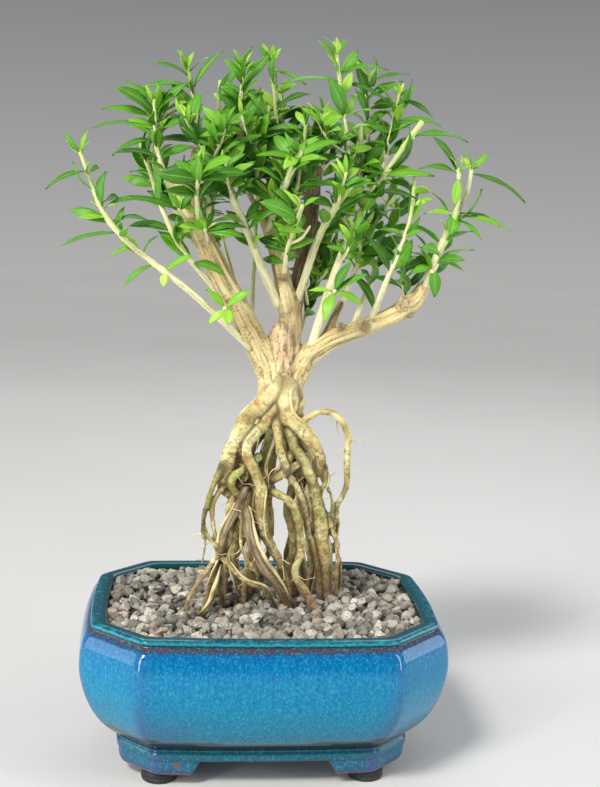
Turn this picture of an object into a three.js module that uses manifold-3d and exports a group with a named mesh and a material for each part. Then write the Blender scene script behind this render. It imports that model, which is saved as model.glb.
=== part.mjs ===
// A serissa bonsai in a glazed pot, in millimetres, +Z up, standing on four rubber pads.
//
// The tree's woody part, its exposed roots, trunk and pruned limbs, grew as one piece and is one mesh.
// Each leafy shoot is a mesh of its own, its leaves fused to its stem. The roots stand in plain holes in
// the soil, whose top is a relief of gravel, and the soil fills the pot. +X is to the viewer's right and
// +Y points away from the viewer.

import * as THREE from "three";
import { mergeVertices } from "three/addons/utils/BufferGeometryUtils.js";
import Module from "manifold-3d";

const wasm = await Module();
wasm.setup();

// Driving dimensions of the pot. Heights here are above the underside of its feet, and so are the tree's.
const BELLY_HALF_WIDTH = 80;
const BELLY_HALF_DEPTH = 62;
const RIM_TOP = 65;
const UNDERSIDE = 7.5;
const FLOOR_TOP = 12.5;
const FOOT_BOTTOM = 0;
const BELLY_CANT = 25.5;
const LONG_SIDE_BOW = 1.5;
const SHORT_SIDE_BOW = 1.2;
const CORNER_ROUND = 3;
const PLAN_POINTS = 24;
const DRAIN_HOLE_RADIUS = 7;
const DRAIN_HOLE_X = 32;
const DRAIN_HOLE_SIDES = 12;

// Driving dimensions of the feet, the pads under them and the screens over the drainage holes
const FOOT_INNER_X = 26.5;
const FOOT_INNER_Y = 17;
const FOOT_END_SLOPE = 5.5;
const PAD_HEIGHT = 4.6;
const PAD_RADIUS = 7.8;
const PAD_EASE = 0.8;
const PAD_SIDES = 12;
const PAD_X = 45;
const PAD_Y = 34.5;
const SCREEN_WIDTH = 24;
const SCREEN_THICKNESS = 1;
const SCREEN_CELL = 7;
const SCREEN_BAR = 1.8;

// Driving dimensions of the soil and its gravel
const SOIL_TOP = 61.5;
const SOIL_MOUND = 1.5;
const SOIL_MOUND_RADIUS = 35;
const GRAVEL_CELL = 10;
const GRAVEL_SHIFT = 1.6;
const GRAVEL_RELIEF = 2.2;

// Driving dimensions of the wood: the run between its rings, the sway of a root from side to side, and how
// far a root's foot goes on below the soil's surface
const WOOD_SPACING = 13.5;
const STEM_SPACING = 12;
const ROOT_SWAY = 0.7;
const ROOT_SWAY_LENGTH = 31;
const ROOT_CROSS_SWAY_LENGTH = 18;
const ROOT_DEPTH = 8;

// Driving dimensions of the leaves. A width is a share of the leaf's length, and a leaf shorter than
// YOUNG_LEAF has the plain young form.
const BLADE_THICKNESS = 0.7;
const BLADE_ARCH = 0.09;
const BLADE_REACH = 0.56;
const YOUNG_LEAF = 15;
const PAIR_WIDTH = 0.36;
const TUFT_WIDTH = 0.4;
const LEAF_SINK = 1.2;

// What the rule draws between, as [least, most]: a pair's length as a share of its shoot's size, a young
// leaf's length in millimetres, and angles in degrees
const GROWTH_SEED = 41;
const LISTED_ROLL = [-12, 12];
const PAIR_TURN = 90;
const PAIR_TWIST = [-15, 15];
const PAIR_LENGTH = [0.82, 1.18];
const PAIR_RISE = [8, 42];
const PAIR_ROLL = [-20, 20];
const TUFT_LENGTH = [6, 10];
const TUFT_TWIST = [0, 50];
const TUFT_RISE = [30, 65];
const TUFT_ROLL = [-30, 30];
const LAST_PAIR = 0.95;

// Clearances between neighbours, and the fineness of the tests for them
const GAP = 0.3;
const LEAF_CLEARANCE = 0.45;
const CLEARANCE_STEP = 1.5;
const SMALLEST_FACE = 0.01;
const MERGE_DISTANCE = 1e-4;

const GLAZE = new THREE.MeshStandardMaterial({ color: 0x1f7f9e, roughness: 0.12, metalness: 0 });
const RUBBER = new THREE.MeshStandardMaterial({ color: 0x222422, roughness: 0.8, metalness: 0 });
const SCREEN_PLASTIC = new THREE.MeshStandardMaterial({ color: 0x1c1c1c, roughness: 0.6, metalness: 0 });
const GRAVEL = new THREE.MeshStandardMaterial({ color: 0x77736b, roughness: 0.95, metalness: 0 });
const BARK = new THREE.MeshStandardMaterial({ color: 0xb9935a, roughness: 0.85, metalness: 0 });
const LEAF = new THREE.MeshStandardMaterial({ color: 0x5f9d2c, roughness: 0.45, metalness: 0 });

// The pot's outer wall from its underside to its rim: height, and how far it lies inside the belly
const OUTER_WALL = [
  [UNDERSIDE, 16.6], [11, 16], [12.1, 17.2], [15.5, 13.3], [21.5, 7.8], [31, 3], [42, 0.3], [51, 0.3],
  [58, 1.8], [61.5, 4], [62.4, 5.6], [63.4, 5], [RIM_TOP, 6],
];

// The inner wall from its floor to above the rim
const INNER_WALL = [[FLOOR_TOP, 24], [24, 13], [47, 7.5], [58, 9.6], [RIM_TOP + 1, 12.4]];

// The feet's outer face, flaring up into the plinth band, and the hollow inside their ring
const FOOT_WALL = [[FOOT_BOTTOM, 18.4], [2.5, 17.4], [9, 16.6]];
const FOOT_HOLLOW = [[FOOT_BOTTOM - 1, 33], [10, 32]];

// Woody limbs: the points that each bend needs, [x, y, z], from the trunk outwards, chosen by eye, and
// radii spread evenly from the first point to the last. sides is the number of faces round the limb.
const LIMBS = [
  { sides: 10, path: [[6, 0, 138], [6, 0, 150], [5, 0, 164], [6, -1, 188]], radii: [4, 10.8, 10.4, 9.6, 6] },
  { sides: 8, path: [[4, 0, 162], [-5, -2, 180], [-22, -7, 210], [-42, -10, 250]],
    radii: [8, 5.6, 5, 4.3] },
  { sides: 6, path: [[-30, -9, 226], [-35, -4, 243], [-34, 0, 264]], radii: [3.6, 2.2] },
  { sides: 8, path: [[6, 0, 162], [8, -1, 180], [9, 1, 203]], radii: [8, 6, 4.8] },
  { sides: 6, path: [[8, 0, 196], [1, -2, 222], [-7, -4, 243]], radii: [4.6, 3.2, 2.6] },
  { sides: 7, path: [[9, 2, 194], [15, 11, 220], [19, 15, 258]], radii: [4.4, 3.8, 3.3] },
  { sides: 8, path: [[8, 0, 165], [20, -3, 180], [40, -6, 190], [58, -8, 199], [66, -8, 209]],
    radii: [8, 4.8, 4.2, 3.8, 4.2, 3] },
  { sides: 5, path: [[23, -3, 182], [31, 1, 200]], radii: [2.4, 1.6] },
];

// Exposed roots, written in the same way. A planted root is carried on down below the soil's surface.
const ROOTS = [
  { sides: 6, path: [[4, 0, 163], [-9, -8, 151], [-16, -12, 135], [-18, -13, 118]],
    radii: [8, 4, 3.2, 2.6] },
  { sides: 5, planted: true, path: [[5, -4, 160], [-11, -12, 140], [-2, -12, 112], [3, -9, 84], [12, 0, 62]],
    radii: [5, 2.4, 2.1, 1.9] },
  { sides: 4, path: [[3, -6, 157], [-3, -9, 146], [-11, -12, 139]], radii: [4, 1.7] },
  { sides: 5, path: [[5, -6, 156], [3, -11, 142], [9, -14, 127]], radii: [5, 2.2, 1.8] },
  { sides: 5, path: [[4, 0, 149], [-4, -6, 127], [2, -10, 116]], radii: [5, 2.6, 2.2] },
  { sides: 4, path: [[-4, -10, 126], [-10, -14, 129], [-14, -14, 117]], radii: [2.2, 1.6] },
  { sides: 6, path: [[8, -2, 165], [9, -7, 150], [22, -9, 135], [24, -8, 117]],
    radii: [7, 3.2, 2.9, 1.5] },
  { sides: 6, planted: true, path: [[9, 1, 156], [14, -2, 134], [24, -4, 109], [28, 0, 82], [31, 4, 62]],
    radii: [6, 3.2, 2.8] },
  { sides: 5, planted: true, path: [[-1, -9, 119], [15, -14, 99], [14, -13, 80], [23, -16, 62]],
    radii: [2.3, 2.1] },
  { sides: 4, planted: true, path: [[7, -14, 128], [16, -14, 106], [23, -5, 81], [26, 0, 62]],
    radii: [1.7, 1.4] },
  { sides: 5, planted: true, path: [[-13, -13, 117], [-7, -20, 98], [3, -18, 80], [13, -8, 62]],
    radii: [2.6, 2.4] },
  { sides: 4, planted: true, path: [[-12, -14, 120], [-20, -21, 97], [-20, -14, 74], [-19, -8, 62]],
    radii: [1.8, 1.6] },
  { sides: 4, planted: true, path: [[-20, -20, 94], [-31, -27, 79], [-33, -26, 62]], radii: [1.3, 1.1] },
  { sides: 4, planted: true, path: [[-20, -18, 86], [-25, -21, 73], [-27, -18, 62]], radii: [1.4, 1.5] },
  { sides: 4, planted: true, path: [[-20, -20, 90], [-5, -19, 78], [5, -8, 62]], radii: [1.2, 1.1] },
  { sides: 4, planted: true, path: [[-10, -17, 110], [-9, -18, 90], [1, 2, 62]], radii: [0.9] },
  { sides: 4, path: [[-19, -13, 131], [-27, -16, 113], [-21, -21, 92]], radii: [1.4, 1] },
  { sides: 4, path: [[-27, -16, 110], [-28, -19, 87]], radii: [1.1, 0.9] },
  { sides: 4, path: [[-18, -13, 121], [-24, -15, 111], [-21, -20, 98]], radii: [1.6, 1.1] },
  { sides: 5, planted: true, path: [[-16, -10, 123], [-14, -1, 95], [-9, 13, 62]], radii: [2, 2] },
  { sides: 4, path: [[13, -8, 145], [23, -12, 151], [33, -11, 143], [35, -7, 116], [28, -4, 105]],
    radii: [2.6, 1.5, 1.3] },
  { sides: 4, planted: true, path: [[28, -4, 109], [34, 1, 86], [36, 11, 62]], radii: [1.3, 1.1] },
  { sides: 4, path: [[22, -6, 126], [29, -7, 109], [30, -2, 96]], radii: [1, 0.9] },
  { sides: 4, planted: true, path: [[25, -4, 108], [33, -4, 84], [35, 2, 62]], radii: [1.4, 1] },
  { sides: 4, planted: true, path: [[14, -1, 130], [14, 8, 95], [10, 19, 62]], radii: [2.2, 1.5] },
  { sides: 5, planted: true, path: [[3, 2, 150], [-9, 11, 118], [-8, 14, 92], [-19, 22, 62]],
    radii: [4, 2.1, 2] },
  { sides: 5, planted: true, path: [[7, 3, 150], [18, 13, 117], [18, 18, 88], [22, 24, 62]],
    radii: [4, 2, 1.9] },
  { sides: 4, planted: true, path: [[4, 4, 146], [2, 14, 110], [4, 18, 86], [0, 22, 62]],
    radii: [3, 1.5] },
];

// Leafy shoots. path and radii describe the stem from its root on the wood to its tip. As many opposite
// pairs of leaves as pairs says, about size long, stand from the place called from to near the tip, each
// pair turned across the one below. tuft says how many young leaves stand at the tip. leaves lists only
// those that set the crown's outline or face the viewer, as [place on the stem from 0 to 1, heading from +X
// towards +Y, rise above level, length, width], with angles in degrees. A shoot that joins another is a
// fork of it, and springs from the place on it called at.
const SHOOTS = [
  {
    name: "shoot_low_left",
    path: [[-8, -3, 179], [-34, -13, 203], [-68, -19, 231], [-82, -15, 261]],
    radii: [2.3, 1.6, 1],
    pairs: 1,
    from: 0.76,
    size: 9,
    tuft: 2,
    leaves: [
      [0.93, 180, -25, 19, 4], [0.65, 180, -15, 25, 2.6], [0.72, 190, -5, 12, 4.8], [0.5, 190, -32, 16, 2.8],
      [0.58, 185, -22, 11, 2.8], [0.46, 0, 30, 14, 4], [0.46, 265, -60, 7, 3.4], [0.67, 40, 60, 10, 2.6],
      [0.76, 5, 18, 17, 3.2],
    ],
  },
  {
    name: "shoot_left_inner",
    path: [[-23, -7, 203], [-43, -12, 228], [-58, -4, 267]],
    radii: [1.7, 1.2],
    pairs: 1,
    from: 0.45,
    size: 9,
  },
  {
    name: "shoot_left_top",
    path: [[-42, -11, 240], [-50, -13, 262], [-52, -12, 283]],
    radii: [1.8, 0.9],
    pairs: 2,
    from: 0.55,
    size: 15,
    tuft: 2,
    leaves: [
      [1, 180, 38, 15, 4.6], [0.78, 182, -3, 26, 2.8], [0.86, 172, 7, 23, 4.4], [0.66, 188, -20, 20, 4],
      [0.1, 178, 20, 15, 4],
    ],
  },
  {
    name: "shoot_top_left",
    path: [[-28, -6, 223], [-29, 3, 255], [-38, 2, 297]],
    radii: [1.9, 0.9],
    pairs: 2,
    from: 0.5,
    size: 15,
    tuft: 2,
    leaves: [
      [0.66, 190, 0, 23, 5.2], [0.7, 175, 30, 19, 4.8], [0.98, 180, 22, 17, 3.4], [0.93, 185, 2, 21, 4.2],
      [1, 190, 62, 11, 4.4], [0.92, 8, 55, 21, 2.8],
    ],
  },
  {
    name: "shoot_left_cut",
    joins: "shoot_top_left",
    at: 0.1,
    path: [[-25, 13, 256], [-24, 15, 294]],
    radii: [1.5, 1.2],
    pairs: 1,
    from: 0.6,
    size: 10,
  },
  {
    name: "shoot_main",
    path: [[3, -1, 198], [-10, -12, 226], [-20, -15, 255], [-7, -4, 290]],
    radii: [3, 2, 1.6],
    pairs: 2,
    from: 0.4,
    size: 16,
    leaves: [[0.45, 0, 15, 15, 5], [0.62, 0, 30, 15, 6], [0.66, 200, -5, 16, 5]],
  },
  {
    name: "shoot_main_up",
    joins: "shoot_main",
    at: 0.8,
    path: [[-16, -10, 285], [-15, -8, 298]],
    radii: [1.4, 0.9],
    pairs: 1,
    from: 0.5,
    size: 11,
    tuft: 2,
  },
  {
    name: "shoot_main_left",
    joins: "shoot_main",
    at: 0.64,
    path: [[-30, -20, 262], [-39, -23, 276]],
    radii: [1.6, 0.9],
    pairs: 2,
    from: 0.35,
    size: 15,
    tuft: 2,
  },
  {
    name: "sprig_front_left",
    path: [[-28, -8, 224], [-30, -22, 231]],
    radii: [1.2, 0.9],
    leaves: [[1, 165, 30, 11, 7], [1, 0, 8, 17, 5.2], [0.95, 345, -6, 17, 5], [1, 250, 30, 12, 4.5]],
    tuft: 2,
  },
  {
    name: "sprig_limb_top",
    path: [[-37, -12, 233], [-41, -24, 239]],
    radii: [1.2, 0.9],
    leaves: [[1, 182, 12, 25, 5.6], [1, 20, 50, 12, 4]],
    tuft: 2,
  },
  {
    name: "sprig_limb_low",
    path: [[-16, -6, 194], [-21, -16, 198]],
    radii: [1.2, 0.9],
    leaves: [[1, 165, 40, 12, 5], [1, 355, 42, 14, 5.4], [1, 285, -40, 9, 7.4], [0.95, 195, -42, 10, 3.6]],
  },
  {
    name: "shoot_middle_thin",
    path: [[-6, -3, 238], [1, 8, 262], [-2, 12, 303]],
    radii: [1.4, 0.9],
    pairs: 2,
    from: 0.5,
    size: 11,
    tuft: 2,
    leaves: [[0.97, 0, -20, 16, 2.8]],
  },
  {
    name: "shoot_middle_back",
    path: [[17, 13, 239], [7, 26, 267], [3, 27, 291]],
    radii: [1.4, 0.9],
    pairs: 3,
    from: 0.4,
    size: 13,
    tuft: 2,
    leaves: [[1, 15, 35, 10, 5]],
  },
  {
    name: "shoot_middle_cut",
    path: [[-7, -6, 239], [-8, -9, 260], [-4, -6, 283]],
    radii: [1.4, 1.1],
    pairs: 2,
    from: 0.5,
    size: 14,
  },
  {
    name: "shoot_centre",
    path: [[-3, -5, 231], [3, -18, 251], [8, -25, 263]],
    radii: [2, 1.5],
    pairs: 2,
    from: 0.5,
    size: 16,
    tuft: 2,
    leaves: [[1, 225, -30, 10, 6.2], [1, 10, 22, 20, 5.6], [0.95, 0, 3, 13, 5], [0.96, 180, 3, 17, 4.8]],
  },
  {
    name: "shoot_centre_right",
    path: [[4, -3, 219], [8, -13, 246], [11, -16, 276]],
    radii: [1.7, 1],
    pairs: 2,
    from: 0.5,
    size: 14,
    tuft: 2,
  },
  {
    name: "shoot_front",
    path: [[11, 0, 199], [19, -12, 230], [30, -21, 251]],
    radii: [2.4, 1.7],
    pairs: 2,
    from: 0.6,
    size: 15,
    leaves: [[1, 182, 0, 21, 4.4], [1, 160, 45, 12, 4.6], [1, 15, 10, 14, 4.4]],
  },
  {
    name: "shoot_front_up",
    joins: "shoot_front",
    at: 0.93,
    path: [[29, -10, 270], [24, -4, 306]],
    radii: [1.7, 0.9],
    pairs: 2,
    from: 0.35,
    size: 13,
    tuft: 2,
    leaves: [
      [0.86, 180, -5, 25, 3.6], [0.86, 0, -20, 23, 3], [0.91, 355, 8, 21, 4], [0.97, 178, 42, 12, 3.2],
      [0.4, 255, -45, 10, 7],
    ],
  },
  {
    name: "shoot_fork",
    path: [[17, -3, 177], [26, -10, 213], [38, -8, 242], [62, -5, 279]],
    radii: [2.8, 2.1, 1.6],
    pairs: 2,
    from: 0.66,
    size: 16,
    leaves: [
      [0.95, 0, 2, 25, 5.6], [0.8, 350, 2, 22, 4.8], [0.74, 345, -8, 19, 4.2], [0.74, 262, -20, 9, 7],
      [0.78, 165, 55, 12, 4.6],
    ],
  },
  {
    name: "shoot_fork_fibrous",
    joins: "shoot_fork",
    at: 0.66,
    path: [[36, -3, 259], [36, 0, 276]],
    radii: [2.1, 1.8],
    pairs: 1,
    from: 0.5,
    size: 15,
  },
  {
    name: "shoot_fork_up",
    joins: "shoot_fork",
    at: 0.76,
    path: [[50, 4, 273], [54, 9, 291]],
    radii: [1.6, 0.9],
    pairs: 1,
    from: 0.5,
    size: 12,
    tuft: 2,
    leaves: [[0.97, 0, -22, 17, 3.6], [0.7, 5, 0, 22, 3], [1, 350, 25, 9, 3]],
  },
  {
    name: "shoot_fork_back",
    joins: "shoot_fork",
    at: 0.7,
    path: [[41, 11, 278], [40, 18, 298]],
    radii: [1.5, 0.9],
    pairs: 2,
    from: 0.5,
    size: 13,
    tuft: 2,
    leaves: [[0.95, 0, 17, 20, 3], [0.98, 160, 55, 11, 4]],
  },
  {
    name: "sprig_fork",
    joins: "shoot_fork",
    at: 0.26,
    path: [[25, -16, 204], [25, -22, 207]],
    radii: [1.3, 0.9],
    leaves: [
      [1, 235, -50, 15, 6.6], [1, 335, -18, 13, 6], [1, 182, 2, 11, 4.2], [1, 350, 30, 16, 4.8],
      [0.95, 330, 62, 16, 4.6],
    ],
  },
  {
    name: "shoot_right_slim",
    path: [[43, -6, 192], [48, -15, 211], [57, -13, 236], [59, -10, 256]],
    radii: [1.9, 0.9],
    pairs: 1,
    from: 0.6,
    size: 8,
    leaves: [[0.1, 325, -14, 18, 6.8], [0.1, 230, -45, 15, 5], [0.12, 150, 60, 19, 5]],
  },
  {
    name: "shoot_right_green",
    path: [[31, 1, 198], [42, 8, 226], [55, 10, 251]],
    radii: [1.7, 1],
    pairs: 3,
    from: 0.35,
    size: 13,
    tuft: 2,
    leaves: [[0.4, 0, 12, 13, 5.4]],
  },
  {
    name: "shoot_right_low",
    path: [[58, -6, 200], [57, -2, 219]],
    radii: [1.4, 1],
    pairs: 1,
    from: 0.5,
    size: 12,
    tuft: 2,
  },
  {
    name: "shoot_far",
    path: [[65, -8, 204], [70, -12, 222], [78, -13, 242]],
    radii: [2.5, 1.9],
    pairs: 1,
    from: 0.45,
    size: 13,
    leaves: [
      [0.4, 280, -76, 13, 5.4], [0.42, 190, -20, 12, 4.2], [0.48, 350, -15, 13, 3], [1, 0, -12, 20, 3.8],
      [0.97, 345, -14, 24, 3.6], [0.94, 340, -32, 15, 3.4], [0.98, 180, 3, 14, 4.2], [0.97, 235, -50, 10, 6],
    ],
  },
  {
    name: "shoot_far_right",
    joins: "shoot_far",
    at: 0.97,
    path: [[82, -11, 250], [84, -8, 260]],
    radii: [1.5, 1],
    leaves: [[0.95, 355, -24, 27, 4.4], [1, 15, 45, 11, 4.2]],
    tuft: 2,
  },
  {
    name: "shoot_far_left",
    joins: "shoot_far",
    at: 0.97,
    path: [[77, -16, 250], [76, -18, 259]],
    radii: [1.5, 1],
    leaves: [[1, 170, 52, 19, 4.8], [0.98, 182, 10, 17, 4.8], [0.9, 255, -76, 13, 4]],
    tuft: 2,
  },
  {
    name: "shoot_left_cross",
    path: [[-8, -2, 181], [-8, 4, 202], [-7, 10, 232]],
    radii: [1.6, 1],
    tuft: 2,
  },
  {
    name: "shoot_left_thin",
    path: [[-14, -4, 201], [-22, 4, 227]],
    radii: [1.2, 0.8],
    tuft: 2,
  },
  {
    name: "shoot_back_low",
    path: [[11, 1, 176], [19, 14, 204], [22, 17, 224]],
    radii: [1.4, 0.9],
    pairs: 2,
    from: 0.5,
    size: 11,
    tuft: 2,
  },
  {
    name: "shoot_front_low_left",
    path: [[-31, -10, 228], [-34, -26, 245], [-32, -36, 258]],
    radii: [1.6, 1],
    pairs: 2,
    from: 0.5,
    size: 15,
    tuft: 2,
  },
  {
    name: "shoot_front_low_middle",
    path: [[5, -1, 209], [5, -18, 224], [9, -33, 242]],
    radii: [1.6, 1],
    pairs: 2,
    from: 0.5,
    size: 15,
    tuft: 2,
  },
  {
    name: "shoot_back_right",
    path: [[17, 13, 240], [24, 32, 258], [24, 45, 282]],
    radii: [1.9, 1],
    pairs: 3,
    from: 0.45,
    size: 14,
    tuft: 2,
  },
  {
    name: "shoot_back_middle",
    path: [[-4, -3, 232], [-13, 20, 254], [-13, 36, 272]],
    radii: [1.9, 1],
    pairs: 3,
    from: 0.45,
    size: 14,
    tuft: 2,
  },
  {
    name: "shoot_back_left",
    path: [[-29, -8, 224], [-44, 16, 240], [-54, 28, 258]],
    radii: [1.9, 1],
    pairs: 3,
    from: 0.45,
    size: 14,
    tuft: 2,
  },
  {
    name: "shoot_back_low_right",
    path: [[36, -5, 191], [50, 22, 218], [58, 34, 242]],
    radii: [1.9, 1],
    pairs: 3,
    from: 0.45,
    size: 14,
    tuft: 2,
  },
  {
    name: "shoot_back_low_left",
    path: [[-19, -6, 203], [-27, 22, 226], [-30, 37, 245]],
    radii: [1.9, 1],
    pairs: 2,
    from: 0.45,
    size: 13,
    tuft: 2,
  },
  {
    name: "shoot_back_centre",
    path: [[14, 9, 214], [4, 36, 233], [2, 48, 254]],
    radii: [1.9, 1],
    pairs: 2,
    from: 0.45,
    size: 13,
    tuft: 2,
  },
];

// Gives the same run of draws from 0 to 1 each time for one seed.
function seededDraws(seed) {
  let state = seed;
  return () => {
    state = (state + 0x6d2b79f5) | 0;
    let mixed = Math.imul(state ^ (state >>> 15), 1 | state);
    mixed = (mixed + Math.imul(mixed ^ (mixed >>> 7), 61 | mixed)) ^ mixed;
    return ((mixed ^ (mixed >>> 14)) >>> 0) / 4294967296;
  };
}

// Turns a three.js geometry into a manifold solid, with shared vertices merged and collapsed faces dropped.
function toSolid(geometry) {
  const bare = geometry.clone();
  bare.deleteAttribute("normal");
  bare.deleteAttribute("uv");
  const merged = mergeVertices(bare, MERGE_DISTANCE);
  const faces = [];
  for (let i = 0; i < merged.index.count; i += 3) {
    const [a, b, c] = [0, 1, 2].map((corner) => merged.index.getX(i + corner));
    if (a !== b && b !== c && c !== a) {
      faces.push(a, b, c);
    }
  }
  const vertProperties = new Float32Array(merged.attributes.position.array);
  return new wasm.Manifold(new wasm.Mesh({ numProp: 3, vertProperties, triVerts: new Uint32Array(faces) }));
}

// Turns a manifold solid back into a mesh for the scene.
function toMesh(name, solid, material) {
  const result = solid.getMesh();
  const geometry = new THREE.BufferGeometry();
  geometry.setAttribute("position", new THREE.BufferAttribute(new Float32Array(result.vertProperties), 3));
  geometry.setIndex(new THREE.BufferAttribute(new Uint32Array(result.triVerts), 1));
  geometry.computeVertexNormals();
  const mesh = new THREE.Mesh(geometry, material);
  mesh.name = name;
  return mesh;
}

// Joins solids and keeps the one large body, without loose scraps or the shells of sealed hollows.
function fuse(solids) {
  return largestBody(wasm.Manifold.union(solids));
}

function largestBody(solid) {
  const bodies = solid.decompose();
  return bodies.reduce((best, body) => (body.volume() > best.volume() ? body : best));
}

// The pot's plan at one level: a rectangle with bowed sides and canted corners, their edges eased. Its
// points run counter-clockwise. inset is how far it lies inside the belly.
function potPlan(inset) {
  const halfX = BELLY_HALF_WIDTH - inset;
  const halfY = BELLY_HALF_DEPTH - inset;
  const cant = BELLY_CANT - inset * (2 - Math.SQRT2);
  const corners = [];
  for (const [x, y, turn] of [[1, -1, 1], [1, 1, 0], [-1, 1, 1], [-1, -1, 0]]) {
    const onShortSide = new THREE.Vector2(x * halfX, y * (halfY - cant));
    const onLongSide = new THREE.Vector2(x * (halfX - cant), y * halfY);
    corners.push(...(turn ? [onLongSide, onShortSide] : [onShortSide, onLongSide]));
  }
  const shape = new THREE.Shape();
  const sideBow = [0, SHORT_SIDE_BOW, 0, LONG_SIDE_BOW];
  corners.forEach((corner, i) => {
    const next = corners[(i + 1) % corners.length];
    const after = corners[(i + 2) % corners.length];
    const along = next.clone().sub(corner).normalize();
    const onwards = after.clone().sub(next).normalize();
    const start = corner.clone().addScaledVector(along, CORNER_ROUND);
    const end = next.clone().addScaledVector(along, -CORNER_ROUND);
    const bow = new THREE.Vector2(along.y, -along.x).multiplyScalar(2 * sideBow[i % 4]);
    const middle = start.clone().add(end).multiplyScalar(0.5).add(bow);
    if (i === 0) {
      shape.moveTo(start.x, start.y);
    }
    shape.quadraticCurveTo(middle.x, middle.y, end.x, end.y);
    const roundEnd = next.clone().addScaledVector(onwards, CORNER_ROUND);
    shape.lineTo(roundEnd.x, roundEnd.y);
  });
  return shape.getPoints(2).slice(0, PLAN_POINTS);
}

// A closed body through the pot's plan at each [height, inset], from the lowest to the highest.
function potLoft(wall) {
  const plans = wall.map(([, inset]) => potPlan(inset));
  const sides = plans[0].length;
  const geometry = new THREE.CylinderGeometry(1, 1, 1, sides, wall.length - 1);
  const position = geometry.attributes.position;
  for (let i = 0; i < position.count; i += 1) {
    const [x, y, z] = [position.getX(i), position.getY(i), position.getZ(i)];
    const level = Math.round((y + 0.5) * (wall.length - 1));
    if (Math.hypot(x, z) < 0.5) {
      position.setXYZ(i, 0, 0, wall[level][0]);
    } else {
      const turn = Math.round((Math.atan2(x, z) / (2 * Math.PI)) * sides);
      const point = plans[level][(turn + sides) % sides];
      position.setXYZ(i, point.x, point.y, wall[level][0]);
    }
  }
  return toSolid(geometry);
}

// A long prism under the pot whose sides lean outwards downwards. It parts the foot ring into feet.
function footGap(halfWidth, runsAlongY) {
  const bottomHalfWidth = halfWidth + FOOT_END_SLOPE;
  const shape = new THREE.Shape([
    new THREE.Vector2(-bottomHalfWidth, FOOT_BOTTOM - 1),
    new THREE.Vector2(bottomHalfWidth, FOOT_BOTTOM - 1),
    new THREE.Vector2(halfWidth, UNDERSIDE),
    new THREE.Vector2(-halfWidth, UNDERSIDE),
  ]);
  const length = 2 * BELLY_HALF_WIDTH;
  const geometry = new THREE.ExtrudeGeometry(shape, { depth: length, bevelEnabled: false, steps: 1 });
  geometry.translate(0, 0, -length / 2);
  geometry.rotateX(Math.PI / 2);
  if (!runsAlongY) {
    geometry.rotateZ(Math.PI / 2);
  }
  return toSolid(geometry);
}

function makePot() {
  const body = potLoft(OUTER_WALL);
  const hollow = potLoft(INNER_WALL);
  let feet = potLoft(FOOT_WALL).subtract(potLoft(FOOT_HOLLOW));
  feet = feet.subtract(footGap(FOOT_INNER_X, true)).subtract(footGap(FOOT_INNER_Y, false));
  let pot = body.add(feet).subtract(hollow);
  for (const side of [-1, 1]) {
    const depth = 4 * UNDERSIDE;
    const hole = new THREE.CylinderGeometry(DRAIN_HOLE_RADIUS, DRAIN_HOLE_RADIUS, depth, DRAIN_HOLE_SIDES);
    hole.rotateX(Math.PI / 2);
    hole.translate(side * DRAIN_HOLE_X, 0, UNDERSIDE);
    pot = pot.subtract(toSolid(hole));
  }
  return largestBody(pot);
}

// A moulded rubber pad under a foot: a low disc with eased edges.
function makePad(x, y) {
  const topEase = PAD_EASE / 2;
  const profile = [
    new THREE.Vector2(0, 0),
    new THREE.Vector2(PAD_RADIUS - PAD_EASE, 0),
    new THREE.Vector2(PAD_RADIUS, PAD_EASE),
    new THREE.Vector2(PAD_RADIUS, PAD_HEIGHT - topEase),
    new THREE.Vector2(PAD_RADIUS - topEase, PAD_HEIGHT),
    new THREE.Vector2(0, PAD_HEIGHT),
  ];
  const geometry = new THREE.LatheGeometry(profile, PAD_SIDES);
  geometry.rotateX(Math.PI / 2);
  geometry.translate(x, y, FOOT_BOTTOM - PAD_HEIGHT);
  return toSolid(geometry);
}

// A square plastic screen with nine square openings, lying on the pot's floor over a drainage hole.
function makeScreen(x) {
  const slab = new THREE.BoxGeometry(SCREEN_WIDTH, SCREEN_WIDTH, SCREEN_THICKNESS);
  slab.translate(x, 0, FLOOR_TOP + SCREEN_THICKNESS / 2);
  let screen = toSolid(slab);
  const side = SCREEN_CELL - SCREEN_BAR;
  for (const i of [-1, 0, 1]) {
    for (const j of [-1, 0, 1]) {
      const opening = new THREE.BoxGeometry(side, side, 4 * SCREEN_THICKNESS);
      opening.translate(x + i * SCREEN_CELL, j * SCREEN_CELL, FLOOR_TOP);
      screen = screen.subtract(toSolid(opening));
    }
  }
  return screen;
}

// Points along the curve through a path, evenly spread, and the direction there.
function centreLine(path, spacing) {
  const points = path.map((point) => new THREE.Vector3(...point));
  const curve = new THREE.CatmullRomCurve3(points, false, "catmullrom", 0.5);
  const steps = Math.max(2, Math.round(curve.getLength() / spacing));
  return Array.from({ length: steps + 1 }, (_, k) => (
    { centre: curve.getPoint(k / steps), tangent: curve.getTangent(k / steps), share: k / steps }));
}

// The place on a stem at a share of the way along, on the straight runs between its rings, with its
// direction.
function stemPlace({ path }, share) {
  const line = centreLine(path, STEM_SPACING);
  const place = share * (line.length - 1);
  const before = Math.min(Math.floor(place), line.length - 2);
  const [start, end] = [line[before].centre, line[before + 1].centre];
  return { point: start.clone().lerp(end, place - before), along: end.clone().sub(start).normalize() };
}

// The radius at a share of the way along, from radii spread evenly from one end to the other.
function radiusAt(radii, share) {
  const place = share * (radii.length - 1);
  const before = Math.floor(place);
  return THREE.MathUtils.lerp(radii[before], radii[Math.min(before + 1, radii.length - 1)], place - before);
}

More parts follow.
